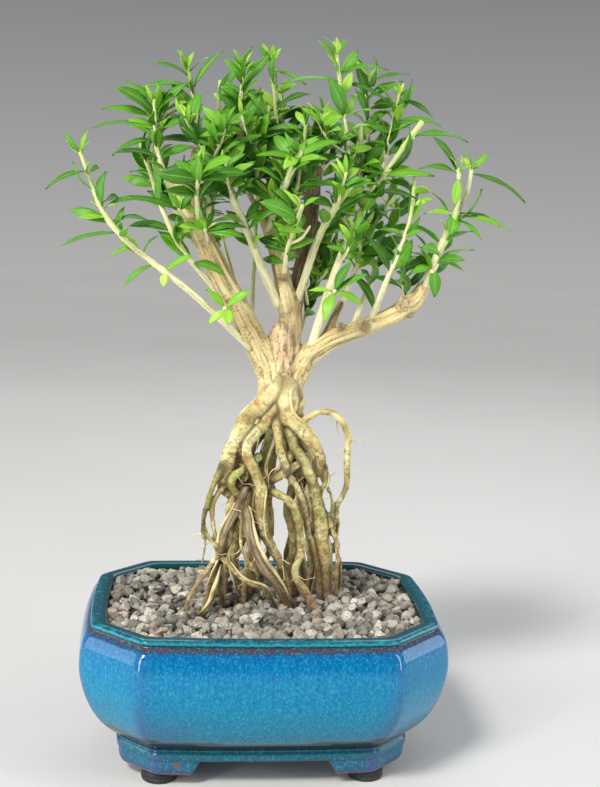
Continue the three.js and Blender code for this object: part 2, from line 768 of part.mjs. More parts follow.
// A tapering limb bent along its path. grow thickens it all over and lengthens both ends, and sway lets a
// root wander a little from side to side.
function makeLimb({ path, radii, sides = 4, sway = 0, spacing = WOOD_SPACING }, grow = 0) {
  const line = centreLine(path, spacing);
  const steps = line.length - 1;
  let side = new THREE.Vector3(0.37, 0.89, 0.21);
  const rings = line.map(({ centre, tangent, share }, k) => {
    side = side.clone().addScaledVector(tangent, -side.dot(tangent)).normalize();
    const other = side.clone().cross(tangent);
    const run = 2 * Math.PI * k * spacing;
    centre.addScaledVector(side, sway * Math.sin(run / ROOT_SWAY_LENGTH));
    centre.addScaledVector(other, sway * Math.sin(run / ROOT_CROSS_SWAY_LENGTH));
    if (k === 0 || k === steps) {
      centre.addScaledVector(tangent, k === 0 ? -grow : grow);
    }
    return { centre, side, other, radius: radiusAt(radii, share) + grow };
  });
  const geometry = new THREE.CylinderGeometry(1, 1, 1, sides, steps);
  const position = geometry.attributes.position;
  for (let i = 0; i < position.count; i += 1) {
    const ring = rings[Math.round((position.getY(i) + 0.5) * steps)];
    const point = ring.centre.clone();
    point.addScaledVector(ring.side, position.getX(i) * ring.radius);
    point.addScaledVector(ring.other, position.getZ(i) * ring.radius);
    position.setXYZ(i, point.x, point.y, point.z);
  }
  return toSolid(geometry);
}

// A root that stands in the soil goes on straight down to its buried foot.
function fullPath({ path, planted }) {
  if (!planted) {
    return path;
  }
  const [x, y, z] = path[path.length - 1];
  return [...path, [x, y, z - ROOT_DEPTH]];
}

const WOOD = [...LIMBS, ...ROOTS.map((root) => ({ ...root, path: fullPath(root), sway: ROOT_SWAY }))];

function makeWood(grow) {
  return fuse(WOOD.map((piece) => makeLimb(piece, grow)));
}

// The frame of a leaf: its direction, and a normal that turns its upper face to the light.
function leafFrame({ heading, rise, roll }) {
  const [turn, lift] = [heading, rise].map(THREE.MathUtils.degToRad);
  const along = new THREE.Vector3(Math.cos(turn), Math.sin(turn), 0).multiplyScalar(Math.cos(lift));
  along.z = Math.sin(lift);
  const light = new THREE.Vector3(0, -0.55, 0.83);
  const normal = light.addScaledVector(along, -light.dot(along)).normalize();
  normal.applyAxisAngle(along, THREE.MathUtils.degToRad(roll));
  return { along, normal, side: along.clone().cross(normal) };
}

// How wide a blade is along its length, as [place from foot to tip, share of its full width]. A young leaf
// is a plain lozenge.
const GROWN_BLADE = [[0, 0], [0.42, 1], [0.78, 0.78], [1, 0]];
const YOUNG_BLADE = [[0, 0], [0.5, 1], [1, 0]];

function stationsOf(leaf) {
  return leaf.length < YOUNG_LEAF ? YOUNG_BLADE : GROWN_BLADE;
}

function bladePoint(leaf, frame, share, across) {
  const point = leaf.foot.clone().addScaledVector(frame.along, share * leaf.length);
  point.addScaledVector(frame.normal, BLADE_ARCH * leaf.length * 4 * share * (1 - share));
  return point.addScaledVector(frame.side, across);
}

function makeBlade(leaf) {
  const frame = leafFrame(leaf);
  const stations = stationsOf(leaf);
  const spans = stations.length - 1;
  const geometry = new THREE.BoxGeometry(1, 1, 1, 1, spans, 1);
  const position = geometry.attributes.position;
  for (let i = 0; i < position.count; i += 1) {
    const [share, width] = stations[Math.round((position.getY(i) + 0.5) * spans)];
    const point = bladePoint(leaf, frame, share, position.getX(i) * width * leaf.width);
    point.addScaledVector(frame.normal, position.getZ(i) * BLADE_THICKNESS);
    position.setXYZ(i, point.x, point.y, point.z);
  }
  return toSolid(geometry);
}

// The triangles of a blade's middle face, and points along its edges and middle, for testing clearance.
function bladeSkeleton(leaf) {
  const frame = leafFrame(leaf);
  const rungs = stationsOf(leaf).map(([share, width]) => [-0.5, 0.5].map(
    (side) => bladePoint(leaf, frame, share, side * width * leaf.width)));
  const triangles = [];
  for (let i = 1; i < rungs.length; i += 1) {
    triangles.push(new THREE.Triangle(rungs[i - 1][0], rungs[i - 1][1], rungs[i][0]));
    triangles.push(new THREE.Triangle(rungs[i - 1][1], rungs[i][1], rungs[i][0]));
  }
  const points = [];
  for (let i = 1; i < rungs.length; i += 1) {
    for (const part of [0.25, 0.5, 0.75, 1]) {
      const left = rungs[i - 1][0].clone().lerp(rungs[i][0], part);
      const right = rungs[i - 1][1].clone().lerp(rungs[i][1], part);
      points.push(left, right, left.clone().lerp(right, 0.5));
    }
  }
  const middle = bladePoint(leaf, frame, 0.5, 0);
  const solidTriangles = triangles.filter((triangle) => triangle.getArea() > SMALLEST_FACE);
  return { triangles: solidTriangles, points, middle, reach: leaf.length * BLADE_REACH };
}

// Points along a stem or limb, with its radius there.
function stemSamples(stem, spacing) {
  const line = centreLine(stem.path, spacing);
  const samples = [];
  for (let k = 1; k < line.length; k += 1) {
    const count = Math.ceil(line[k].centre.distanceTo(line[k - 1].centre) / CLEARANCE_STEP);
    for (let i = 0; i <= count; i += 1) {
      const share = THREE.MathUtils.lerp(line[k - 1].share, line[k].share, i / count);
      const point = line[k - 1].centre.clone().lerp(line[k].centre, i / count);
      samples.push({ point, radius: radiusAt(stem.radii, share) });
    }
  }
  return samples;
}

const nearest = new THREE.Vector3();

function distanceToBlade(point, blade) {
  return Math.min(...blade.triangles.map((triangle) => {
    triangle.closestPointToPoint(point, nearest);
    return nearest.distanceTo(point);
  }));
}

// True if the blade stays clear of the stems and blades of every other piece.
function isClear(blade, node, stems, blades) {
  for (const stem of stems) {
    if (stem.node !== node) {
      for (const { point, radius } of stem.samples) {
        const margin = radius + BLADE_THICKNESS / 2 + LEAF_CLEARANCE;
        const isNear = point.distanceTo(blade.middle) < blade.reach + margin;
        if (isNear && distanceToBlade(point, blade) < margin) {
          return false;
        }
      }
    }
  }
  const margin = BLADE_THICKNESS + LEAF_CLEARANCE;
  return blades.every((other) => other.node === node
    || other.middle.distanceTo(blade.middle) > other.reach + blade.reach + margin
    || (other.points.every((point) => distanceToBlade(point, blade) > margin)
      && blade.points.every((point) => distanceToBlade(point, other) > margin)));
}

// Turns of heading and rise, in degrees, that a leaf tries in order when its own place is taken.
const LEAF_TURNS = [[0, 0], [10, 0], [-10, 0], [0, 12], [0, -12], [20, 0], [-20, 0], [10, 20], [-10, 20],
  [20, -20], [-20, -20], [35, 10], [-35, 10], [50, -10], [-50, -10]];

function drawBetween(draw, [least, most]) {
  return least + (most - least) * draw();
}

// Every leaf that a shoot asks for, before any is turned clear of its neighbours.
function leavesWanted({ leaves = [], pairs = 0, from = 0, size, tuft = 0 }, draw) {
  const wanted = leaves.map(([place, heading, rise, length, width]) => (
    { place, heading, rise, length, width, roll: drawBetween(draw, LISTED_ROLL) }));
  const firstTurn = 180 * draw();
  for (let pair = 0; pair < pairs; pair += 1) {
    const place = from + ((LAST_PAIR - from) * pair) / pairs;
    const turn = firstTurn + PAIR_TURN * pair + drawBetween(draw, PAIR_TWIST);
    for (const heading of [turn, turn + 180]) {
      const length = size * drawBetween(draw, PAIR_LENGTH);
      const rise = drawBetween(draw, PAIR_RISE);
      const roll = drawBetween(draw, PAIR_ROLL);
      wanted.push({ place, heading, rise, length, width: PAIR_WIDTH * length, roll });
    }
  }
  for (let young = 0; young < tuft; young += 1) {
    const length = drawBetween(draw, TUFT_LENGTH);
    const heading = firstTurn + (360 * young) / tuft + drawBetween(draw, TUFT_TWIST);
    const rise = drawBetween(draw, TUFT_RISE);
    const roll = drawBetween(draw, TUFT_ROLL);
    wanted.push({ place: 1, heading, rise, length, width: TUFT_WIDTH * length, roll });
  }
  return wanted;
}

// A fork's path starts on the stem that it joins.
function rootedShoot(shoot) {
  if (!shoot.joins) {
    return shoot;
  }
  const parent = SHOOTS.find(({ name }) => name === shoot.joins);
  return { ...shoot, path: [stemPlace(parent, shoot.at).point.toArray(), ...shoot.path] };
}

// Grows all the shoots together, because each leaf has to find room among those already grown.
function growShoots() {
  const draw = seededDraws(GROWTH_SEED);
  const shoots = SHOOTS.map(rootedShoot);
  const nodeOf = (shoot) => shoot.joins ?? shoot.name;
  const stems = shoots.map((shoot) => ({ node: nodeOf(shoot), samples: stemSamples(shoot, STEM_SPACING) }));
  stems.push(...WOOD.map((piece) => ({ node: "tree_wood", samples: stemSamples(piece, WOOD_SPACING) })));
  const blades = [];
  const parts = new Map();
  for (const shoot of shoots) {
    const node = nodeOf(shoot);
    const solids = parts.get(node) ?? [];
    solids.push(makeLimb({ ...shoot, spacing: STEM_SPACING }));
    for (const wish of leavesWanted(shoot, draw)) {
      const { point, along } = stemPlace(shoot, wish.place);
      const foot = point.addScaledVector(along, -LEAF_SINK);
      for (const [turn, lift] of LEAF_TURNS) {
        const leaf = { ...wish, foot, heading: wish.heading + turn, rise: wish.rise + lift };
        const blade = { node, ...bladeSkeleton(leaf) };
        if (isClear(blade, node, stems, blades)) {
          blades.push(blade);
          solids.push(makeBlade(leaf));
          break;
        }
      }
    }
    parts.set(node, solids);
  }
  return parts;
}

// A block whose top is a relief of gravel, a little higher at the trunk.
function makeGravelBlock() {
  const [width, depth] = [2 * BELLY_HALF_WIDTH, 2 * BELLY_HALF_DEPTH];
  const height = 2 * (SOIL_TOP - FLOOR_TOP);
  const [columns, rows] = [width, depth].map((size) => Math.round(size / GRAVEL_CELL));
  const box = new THREE.BoxGeometry(width, depth, height, columns, rows, 1);
  box.deleteAttribute("normal");
  box.deleteAttribute("uv");
  const block = mergeVertices(box, MERGE_DISTANCE);
  const draw = seededDraws(GROWTH_SEED + 1);
  const position = block.attributes.position;
  for (let i = 0; i < position.count; i += 1) {
    const [x, y, z] = [position.getX(i), position.getY(i), position.getZ(i)];
    if (z > 0) {
      const mound = SOIL_MOUND * Math.exp(-(x * x + y * y) / SOIL_MOUND_RADIUS ** 2);
      const shiftX = GRAVEL_SHIFT * (draw() - 0.5);
      const shiftY = GRAVEL_SHIFT * (draw() - 0.5);
      position.setXYZ(i, x + shiftX, y + shiftY, z + mound + GRAVEL_RELIEF * (draw() - 0.5));
    }
  }
  block.translate(0, 0, SOIL_TOP - height / 2);
  return toSolid(block);
}

// The soil fills the pot to just below its rim, clear of the roots and of the screens on the floor.
function makeSoil(rootHoles) {
  const wall = INNER_WALL.map(([height, inset]) => [height, inset + GAP]);
  let soil = potLoft(wall).intersect(makeGravelBlock()).subtract(rootHoles);
  for (const side of [-1, 1]) {
    const width = SCREEN_WIDTH + 2 * GAP;
    const pocket = new THREE.BoxGeometry(width, width, 2 * SCREEN_THICKNESS);
    pocket.translate(side * DRAIN_HOLE_X, 0, FLOOR_TOP);
    soil = soil.subtract(toSolid(pocket));
  }
  return largestBody(soil);
}

const bonsai = new THREE.Group();
const woodClearance = makeWood(GAP);
bonsai.add(toMesh("pot", makePot(), GLAZE));
const padPlaces = [["front_left", -1, -1], ["front_right", 1, -1], ["back_left", -1, 1],
  ["back_right", 1, 1]];
for (const [place, x, y] of padPlaces) {
  bonsai.add(toMesh(`rubber_pad_${place}`, makePad(x * PAD_X, y * PAD_Y), RUBBER));
}
bonsai.add(toMesh("drain_screen_left", makeScreen(-DRAIN_HOLE_X), SCREEN_PLASTIC));
bonsai.add(toMesh("drain_screen_right", makeScreen(DRAIN_HOLE_X), SCREEN_PLASTIC));
bonsai.add(toMesh("soil", makeSoil(woodClearance), GRAVEL));
bonsai.add(toMesh("tree_wood", makeWood(0), BARK));
for (const [name, solids] of growShoots()) {
  const grown = wasm.Manifold.union(solids).subtract(woodClearance);
  bonsai.add(toMesh(name, largestBody(grown), LEAF));
}

// The origin is the middle of the whole object's box, on the surface that the pads stand on.
const middle = new THREE.Box3().setFromObject(bonsai).getCenter(new THREE.Vector3());
bonsai.position.set(-middle.x, -middle.y, PAD_HEIGHT - FOOT_BOTTOM);

export default bonsai;
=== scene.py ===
import math
import random

import bmesh
import bpy
from mathutils import Matrix, Vector, kdtree, noise
from mathutils.geometry import closest_point_on_tri


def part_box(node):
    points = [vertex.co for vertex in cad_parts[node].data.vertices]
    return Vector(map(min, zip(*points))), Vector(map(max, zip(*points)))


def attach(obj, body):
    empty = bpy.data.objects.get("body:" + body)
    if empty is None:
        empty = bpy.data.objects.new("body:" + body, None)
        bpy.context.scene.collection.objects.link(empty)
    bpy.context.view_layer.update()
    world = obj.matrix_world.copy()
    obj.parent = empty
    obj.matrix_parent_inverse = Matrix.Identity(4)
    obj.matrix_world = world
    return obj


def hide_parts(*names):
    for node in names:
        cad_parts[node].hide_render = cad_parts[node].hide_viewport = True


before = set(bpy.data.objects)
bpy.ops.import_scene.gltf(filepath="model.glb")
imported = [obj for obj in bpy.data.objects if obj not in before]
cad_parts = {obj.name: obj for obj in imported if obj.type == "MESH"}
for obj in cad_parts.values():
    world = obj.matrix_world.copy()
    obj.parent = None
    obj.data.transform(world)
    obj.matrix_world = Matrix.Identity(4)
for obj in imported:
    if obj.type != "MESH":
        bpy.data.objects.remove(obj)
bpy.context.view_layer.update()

# The view: a bonsai on a pale table in soft studio light, seen from a little above the pot's rim. Lengths in
# this file are millimetres from the middle of the pot, level with the underside of its feet, and each piece is
# turned into metres as it is finished. The sky dims behind the camera, where a room is darker than its windows.
METRE = 0.001
POT_LOW, POT_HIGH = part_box("pot")
POT_MIDDLE = Vector(((POT_LOW.x + POT_HIGH.x) / 2, (POT_LOW.y + POT_HIGH.y) / 2, POT_LOW.z))
TO_ROW = Matrix.Translation(POT_MIDDLE) @ Matrix.Scale(METRE, 4)

FRAME_HEIGHT = 787
LENS_PIXELS = 1300
CAMERA_DISTANCE = 576.5
CAMERA_AZIMUTH = -5.65
CAMERA_ELEVATION = 9.5
CAMERA_ROLL = -1.98
CAMERA_TARGET = (14, 0, 159.2)
SENSOR = 36


def add_camera():
    turn, lift, roll = (math.radians(a) for a in (CAMERA_AZIMUTH, CAMERA_ELEVATION, CAMERA_ROLL))
    back = Vector((math.sin(turn) * math.cos(lift), -math.cos(turn) * math.cos(lift), math.sin(lift)))
    right = Vector((math.cos(turn), math.sin(turn), 0))
    up = back.cross(right)
    axes = Matrix((right * math.cos(roll) - up * math.sin(roll),
                   right * math.sin(roll) + up * math.cos(roll), back)).transposed()
    data = bpy.data.cameras.new("camera")
    data.sensor_fit = "VERTICAL"
    data.sensor_height = SENSOR
    data.lens = SENSOR * LENS_PIXELS / FRAME_HEIGHT
    data.clip_start = 0.01
    camera = bpy.data.objects.new("camera", data)
    place = TO_ROW @ (Vector(CAMERA_TARGET) + CAMERA_DISTANCE * back)
    camera.matrix_world = Matrix.Translation(place) @ axes.to_4x4()
    bpy.context.scene.collection.objects.link(camera)
    bpy.context.scene.camera = camera


def add_light(name, place, size, power, colour, aim):
    data = bpy.data.lights.new(name, "AREA")
    data.shape = "RECTANGLE"
    data.size, data.size_y = (side * METRE for side in size)
    data.energy = power
    data.color = colour
    light = bpy.data.objects.new(name, data)
    start, end = TO_ROW @ Vector(place), TO_ROW @ Vector(aim)
    light.matrix_world = Matrix.Translation(start) @ (
        start - end).to_track_quat("Z", "Y").to_matrix().to_4x4()
    bpy.context.scene.collection.objects.link(light)


def add_sun(towards, strength, softness, colour):
    data = bpy.data.lights.new("overhead", "SUN")
    data.energy = strength
    data.angle = math.radians(softness)
    data.color = colour
    sun = bpy.data.objects.new("overhead", data)
    sun.matrix_world = (-Vector(towards)).to_track_quat("-Z", "Y").to_matrix().to_4x4()
    bpy.context.scene.collection.objects.link(sun)


WORLD_SKY = [(0.46, (0.44, 0.437, 0.43)), (0.60, (0.17, 0.175, 0.19)), (1.0, (0.25, 0.26, 0.275))]
BEHIND_CAMERA = (-0.8, -0.1)
ROOM_BRIGHTNESS = 0.5


class Look:
    """Shader nodes for a material or a world: each call adds a node and gives its output back."""

    def __init__(self, name, kind="materials"):
        self.owner = getattr(bpy.data, kind).new(name)
        self.owner.use_nodes = True
        self.tree = self.owner.node_tree
        self.tree.nodes.clear()

    def add(self, kind, inputs=None, **settings):
        node = self.tree.nodes.new("ShaderNode" + kind)
        for key, value in settings.items():
            setattr(node, key, value)
        for key, value in (inputs or {}).items():
            self.feed(node.inputs[key], value)
        return node

    def feed(self, socket, value):
        if isinstance(value, bpy.types.NodeSocket):
            self.tree.links.new(value, socket)
        else:
            socket.default_value = value

    def place(self):
        return self.add("TexCoord").outputs["Object"]

    def attribute(self, name):
        return self.add("Attribute", attribute_name=name)

    def channels(self, name):
        """The red, green, blue and alpha of a colour attribute."""
        colour = self.attribute(name).outputs
        return (*self.add("SeparateColor", {"Color": colour["Color"]}).outputs, colour["Alpha"])

    def math(self, operation, *values):
        return self.add("Math", dict(enumerate(values)), operation=operation).outputs[0]

    def plus(self, one, other):
        return self.math("ADD", one, other)

    def times(self, one, other):
        return self.math("MULTIPLY", one, other)

    def noise(self, vector, scale, detail=3.0, roughness=0.55, distortion=0.0):
        return self.add("TexNoise", {"Vector": vector, "Scale": scale, "Detail": detail, "Roughness": roughness,
                                     "Distortion": distortion}).outputs["Fac"]

    def drawn_out(self, vector, across, along, detail=3.0, roughness=0.55, distortion=0.0):
        """Noise with one frequency across the grain and another along it."""
        stretched = self.add("Mapping", {"Vector": vector, "Scale": (across, across, along)}).outputs[0]
        return self.noise(stretched, 1.0, detail, roughness, distortion)

    def level(self, value, low, high, to_low=0.0, to_high=1.0):
        return self.add("MapRange", {"Value": value, "From Min": low, "From Max": high, "To Min": to_low,
                                     "To Max": to_high}).outputs[0]

    def ramp(self, value, stops):
        node = self.add("ValToRGB", {"Fac": value})
        band = node.color_ramp
        while len(band.elements) < len(stops):
            band.elements.new(0.5)
        for element, (place, colour) in zip(band.elements, stops):
            element.position = place
            element.color = (*colour, 1)
        return node.outputs[0]

    def mix(self, share, low, high):
        node = self.add("Mix", {"Factor": share}, data_type="RGBA", blend_type="MIX")
        for name, value in (("A", low), ("B", high)):
            socket = next(s for s in node.inputs if s.name == name and s.type == "RGBA")
            self.feed(socket, (*value, 1) if isinstance(value, tuple) else value)
        return next(s for s in node.outputs if s.type == "RGBA")

    def over(self, colour, value, low, high, share, tint):
        """Lays a share of a tint over a colour, where value goes from low to high."""
        return self.mix(self.level(value, low, high, 0, share), colour, tint)

    def split(self, vector):
        return self.add("SeparateXYZ", {"Vector": vector}).outputs

    def bump(self, height, distance, strength=1.0):
        return self.add("Bump", {"Height": height, "Distance": distance * METRE, "Strength": strength}).outputs[0]

    def surface(self, **inputs):
        shader = self.add("BsdfPrincipled", {name.replace("_", " "): value for name, value in inputs.items()})
        self.add("OutputMaterial", {"Surface": shader.outputs[0]})
        return self.owner


def add_sky():
    look = Look("studio", "worlds")
    _, away, upwards = look.split(look.add("TexCoord").outputs["Generated"])
    sky = look.ramp(look.level(upwards, -1, 1), WORLD_SKY)
    share = look.level(away, *BEHIND_CAMERA, ROOM_BRIGHTNESS)
    dimmed = look.add("VectorMath", {0: sky, "Scale": share}, operation="SCALE").outputs[0]
    look.add("OutputWorld", {"Surface": look.add("Background", {"Color": dimmed}).outputs[0]})
    bpy.context.scene.world = look.owner


bpy.context.scene.view_settings.view_transform = "Standard"
add_sky()
add_camera()
add_sun((-0.5, -0.66, 0.95), 2.35, 12, (1, 0.98, 0.94))
add_light("key", (-520, -560, 440), (90, 860), 5, (1, 0.98, 0.95), (0, 0, 180))
add_light("fill", (640, -440, 440), (90, 860), 3.6, (0.95, 0.97, 1), (0, 0, 180))
add_light("left_window", (-770, -20, 270), (380, 500), 2.2, (0.93, 0.97, 1), (0, 0, 120))
add_light("right_window", (770, 110, 270), (380, 500), 2.2, (0.93, 0.97, 1), (0, 0, 120))
add_light("back", (120, 820, 760), (700, 500), 2, (1, 1, 1), (0, 0, 180))


# The table: a plain pale board, for the pot to stand on and be mirrored in. It only dresses the view and isn't
# part of the object.
TABLE_SIZE = 6000


def finish_mesh(bm, name, material):
    """Turns a bmesh in millimetres into a smooth object in metres, in its place on the part."""
    bmesh.ops.transform(bm, matrix=TO_ROW, verts=bm.verts)
    mesh = bpy.data.meshes.new(name)
    bm.to_mesh(mesh)
    bm.free()
    mesh.shade_smooth()
    mesh.materials.append(material)
    piece = bpy.data.objects.new(name, mesh)
    bpy.context.scene.collection.objects.link(piece)
    return piece


def pale_board():
    look = Look("pale_board")
    cloud = look.noise(look.place(), 3.0)
    colour = look.ramp(cloud, [(0.3, (0.575, 0.57, 0.56)), (0.7, (0.61, 0.605, 0.595))])
    return look.surface(Base_Color=colour, Roughness=0.7)


def add_table():
    bm = bmesh.new()
    table_top = Matrix.Translation((0, 0, -POT_LOW.z / METRE))
    bmesh.ops.create_grid(bm, x_segments=2, y_segments=2, size=TABLE_SIZE / 2, matrix=table_top)
    finish_mesh(bm, "table", pale_board())


add_table()


# The pot: glazed stoneware, cast in one piece, with a bellied wall, canted corners, a rolled lip, a plinth
# band and four corner feet that run on down from it. Two drainage holes go through the floor.
BELLY_HALF_WIDTH = 80
BELLY_HALF_DEPTH = 62
UNDERSIDE = 7.5
FLOOR_TOP = 12.5
FOOT_BOTTOM = 0
BELLY_CANT = 25.5
LONG_SIDE_BOW = 1.5
SHORT_SIDE_BOW = 1.2
CORNER_ROUND = 3.4
DRAIN_HOLE_RADIUS = 7
DRAIN_HOLE_X = 32
FOOT_INNER_X = 26.5
FOOT_INNER_Y = 17
FOOT_END_SLOPE = 5.5
FOOT_HOLLOW = 32.3
FOOT_INSET = 16.6
OUTER_WALL = [(UNDERSIDE, FOOT_INSET), (8.1, 16.3), (9.6, 16.2), (10.8, 16.2), (11.5, 17.0), (12.3, 17.1),
              (13.6, 16.0), (15.5, 13.3), (21.5, 7.8), (31, 3), (42, 0.3), (51, 0.3), (58, 1.8), (60.9, 3.9),
              (61.9, 5.6), (62.6, 5.7), (63.2, 5.1), (64.2, 5.0), (64.9, 5.9), (65.1, 7.4)]
INNER_WALL = [(65.0, 10.2), (64.4, 11.6), (62.5, 12.0), (58, 9.8), (47, 7.6), (24, 13), (FLOOR_TOP, 24)]
FOOT_WALL = [(7.0, 17.1), (6.2, 16.9), (3.4, 17.1), (1.6, 17.6), (0.6, 18.2), (FOOT_BOTTOM, 19.4)]
WALL_STEP = 1.6
LIP_MIDDLE = 8.8
HAND_WOBBLE = 0.16
WOBBLE_SIZE = 34
WOBBLE_SEED = 11
FOOT_STEPS = 5
MIDDLE_STEPS = 10
CANT_STEPS = 8
CREASE_FADE = 8
CREASE_SIDE = 0.7
CREASE_DIP = 0.6
DRAIN_HOLE_SIDES = 32
FOOT_END_FLARE = 1.6

# Without this the wobble, and the roots' kinks further down, would follow the clock.
noise.seed_set(WOBBLE_SEED)


def stand_for(piece, slot, *nodes):
    if nodes:
        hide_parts(*nodes)
    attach(piece, "root")


def catmull(points, share):
    """A point on the smooth curve through points, share going from 0 to 1 evenly from point to point."""
    place = (len(points) - 1) * share
    before = min(int(place), len(points) - 2)
    run = place - before
    start, end = points[before], points[before + 1]
    past = points[before - 1] if before else 2 * start - end
    ahead = points[before + 2] if before + 2 < len(points) else 2 * end - start
    leave, arrive = (end - past) / 2, (ahead - start) / 2
    return (start + leave * run + (3 * (end - start) - 2 * leave - arrive) * run ** 2
            + (2 * (start - end) + leave + arrive) * run ** 3)


def smooth_profile(levels):
    """Points close together on the curve through a profile's levels."""
    points = [Vector(level) for level in levels]
    fine = []
    for i in range(len(points) - 1):
        count = max(2, round((points[i + 1] - points[i]).length / WALL_STEP))
        fine += [catmull(points, (i + k / count) / (len(points) - 1)) for k in range(count)]
    return fine + [points[-1]]


def side_shares(reach, foot_inner):
    """Places along one side of the plan, with one where each foot ends."""
    foot = (reach - foot_inner) / (2 * reach)
    outer = [foot * k / FOOT_STEPS for k in range(FOOT_STEPS)]
    middle = [foot + (1 - 2 * foot) * k / MIDDLE_STEPS for k in range(MIDDLE_STEPS + 1)]
    return outer + middle + [1 - share for share in reversed(outer)]


def cant_at(inset):
    return BELLY_CANT - inset * (2 - math.sqrt(2))


LONG_SHARES = side_shares(BELLY_HALF_WIDTH - FOOT_INSET - cant_at(FOOT_INSET) - CORNER_ROUND, FOOT_INNER_X)
SHORT_SHARES = side_shares(BELLY_HALF_DEPTH - FOOT_INSET - cant_at(FOOT_INSET) - CORNER_ROUND, FOOT_INNER_Y)
CANT_SHARES = [k / CANT_STEPS for k in range(CANT_STEPS + 1)]
ROUND_STEPS = 6
SIDE_SHARES = (CANT_SHARES, SHORT_SHARES, CANT_SHARES, LONG_SHARES)


def pot_plan(inset):
    """The pot's plan at one level, counter-clockwise. inset is how far it lies inside the belly."""
    half_x, half_y, cant = BELLY_HALF_WIDTH - inset, BELLY_HALF_DEPTH - inset, cant_at(inset)
    corners = []
    for x, y, long_first in ((1, -1, True), (1, 1, False), (-1, 1, True), (-1, -1, False)):
        pair = [Vector((x * (half_x - cant), y * half_y)), Vector((x * half_x, y * (half_y - cant)))]
        corners += pair if long_first else pair[::-1]
    kinds = list(zip((0, SHORT_SIDE_BOW, 0, LONG_SIDE_BOW), SIDE_SHARES))
    points = []
    for i, corner in enumerate(corners):
        bow, shares = kinds[i % 4]
        following = corners[(i + 1) % 8]
        along = (following - corner).normalized()
        onwards = (corners[(i + 2) % 8] - following).normalized()
        start, end = corner + along * CORNER_ROUND, following - along * CORNER_ROUND
        outwards = Vector((along.y, -along.x))
        for share in shares:
            points.append(start.lerp(end, share) + outwards * 4 * bow * share * (1 - share))
        for k in range(1, ROUND_STEPS):
            run = k / ROUND_STEPS
            points.append(end * (1 - run) ** 2 + following * 2 * run * (1 - run)
                          + (following + onwards * CORNER_ROUND) * run ** 2)
    return points


def creases():
    """How near each column of the plan is to a corner's crease, from 0 to 1."""
    near = []
    for i in range(8):
        shares = SIDE_SHARES[i % 4]
        near += [max(0, 1 - CREASE_FADE * min(share, 1 - share)) * CREASE_SIDE for share in shares]
        near += [1 - CREASE_DIP * abs(k / ROUND_STEPS - 0.5) for k in range(1, ROUND_STEPS)]
    return near


def of_type(geometry, kind):
    return [item for item in geometry if isinstance(item, kind)]


def extrude_ring(bm, edges, column, inset, height):
    """Extrudes the ring at one level of the pot to the next level."""
    plan = pot_plan(inset)
    new = bmesh.ops.extrude_edge_only(bm, edges=edges)["geom"]
    for vert in of_type(new, bmesh.types.BMVert):
        vert.co = (*plan[vert[column]], height)
    return of_type(new, bmesh.types.BMEdge)


def make_pot():
    bm = bmesh.new()
    column = bm.verts.layers.int.new("column")
    inner = bm.verts.layers.int.new("inner")
    plan = pot_plan(FOOT_INSET)
    first = bmesh.ops.create_circle(bm, segments=len(plan), radius=1)["verts"]
    for k, vert in enumerate(first):
        vert[column] = k
        vert.co = (*plan[k], UNDERSIDE)
    base = list(bm.edges)
    ring = base
    for height, inset in smooth_profile(OUTER_WALL + INNER_WALL)[1:]:
        ring = [e for e in extrude_ring(bm, ring, column, inset, height) if is_level(e)]
    band = [e for e in extrude_ring(bm, base, column, FOOT_HOLLOW, UNDERSIDE)
            if (plan[e.verts[0][column]] - e.verts[0].co.xy).length > 1
            and (plan[e.verts[1][column]] - e.verts[1].co.xy).length > 1]
    for edge in band:
        for vert in edge.verts:
            vert[inner] = 1
    add_floor(bm, band, ring)
    grow_feet(bm, column, inner)
    bmesh.ops.recalc_face_normals(bm, faces=bm.faces)
    wall, near = bm.verts.layers.float_color.new("wall"), creases()
    for vert in bm.verts:
        half_x, half_y = BELLY_HALF_WIDTH - abs(vert.co.x), BELLY_HALF_DEPTH - abs(vert.co.y)
        depth = min(half_x, half_y, (half_x + half_y - BELLY_CANT) / math.sqrt(2))
        inside = vert.co.z > FLOOR_TOP - 0.1 and depth > LIP_MIDDLE
        vert[wall] = (near[vert[column]], float(inside), 0, 1)
        vert.co += HAND_WOBBLE * noise.noise_vector(vert.co / WOBBLE_SIZE)
    pot = finish_mesh(bm, "glazed_pot", running_glaze())
    soften = pot.modifiers.new("soften", "SUBSURF")
    soften.levels = soften.render_levels = 1
    stand_for(pot, "glaze", "pot")


def is_level(edge):
    return abs(edge.verts[0].co.z - edge.verts[1].co.z) < 1e-4


def add_floor(bm, underside, floor):
    """Fills the underside and the floor round two drainage holes, and lines the holes."""
    rims = []
    for height, edge in ((UNDERSIDE, underside), (FLOOR_TOP, floor)):
        circles = []
        for side in (-1, 1):
            where = Matrix.Translation((side * DRAIN_HOLE_X, 0, height))
            rim = bmesh.ops.create_circle(bm, segments=DRAIN_HOLE_SIDES, radius=DRAIN_HOLE_RADIUS,
                                           matrix=where)["verts"]
            circles.append(list(dict.fromkeys(e for vert in rim for e in vert.link_edges)))
        bmesh.ops.triangle_fill(bm, use_beauty=True, edges=edge + circles[0] + circles[1])
        rims.append(circles)
    for lower, upper in zip(*rims):
        bmesh.ops.bridge_loops(bm, edges=lower + upper)


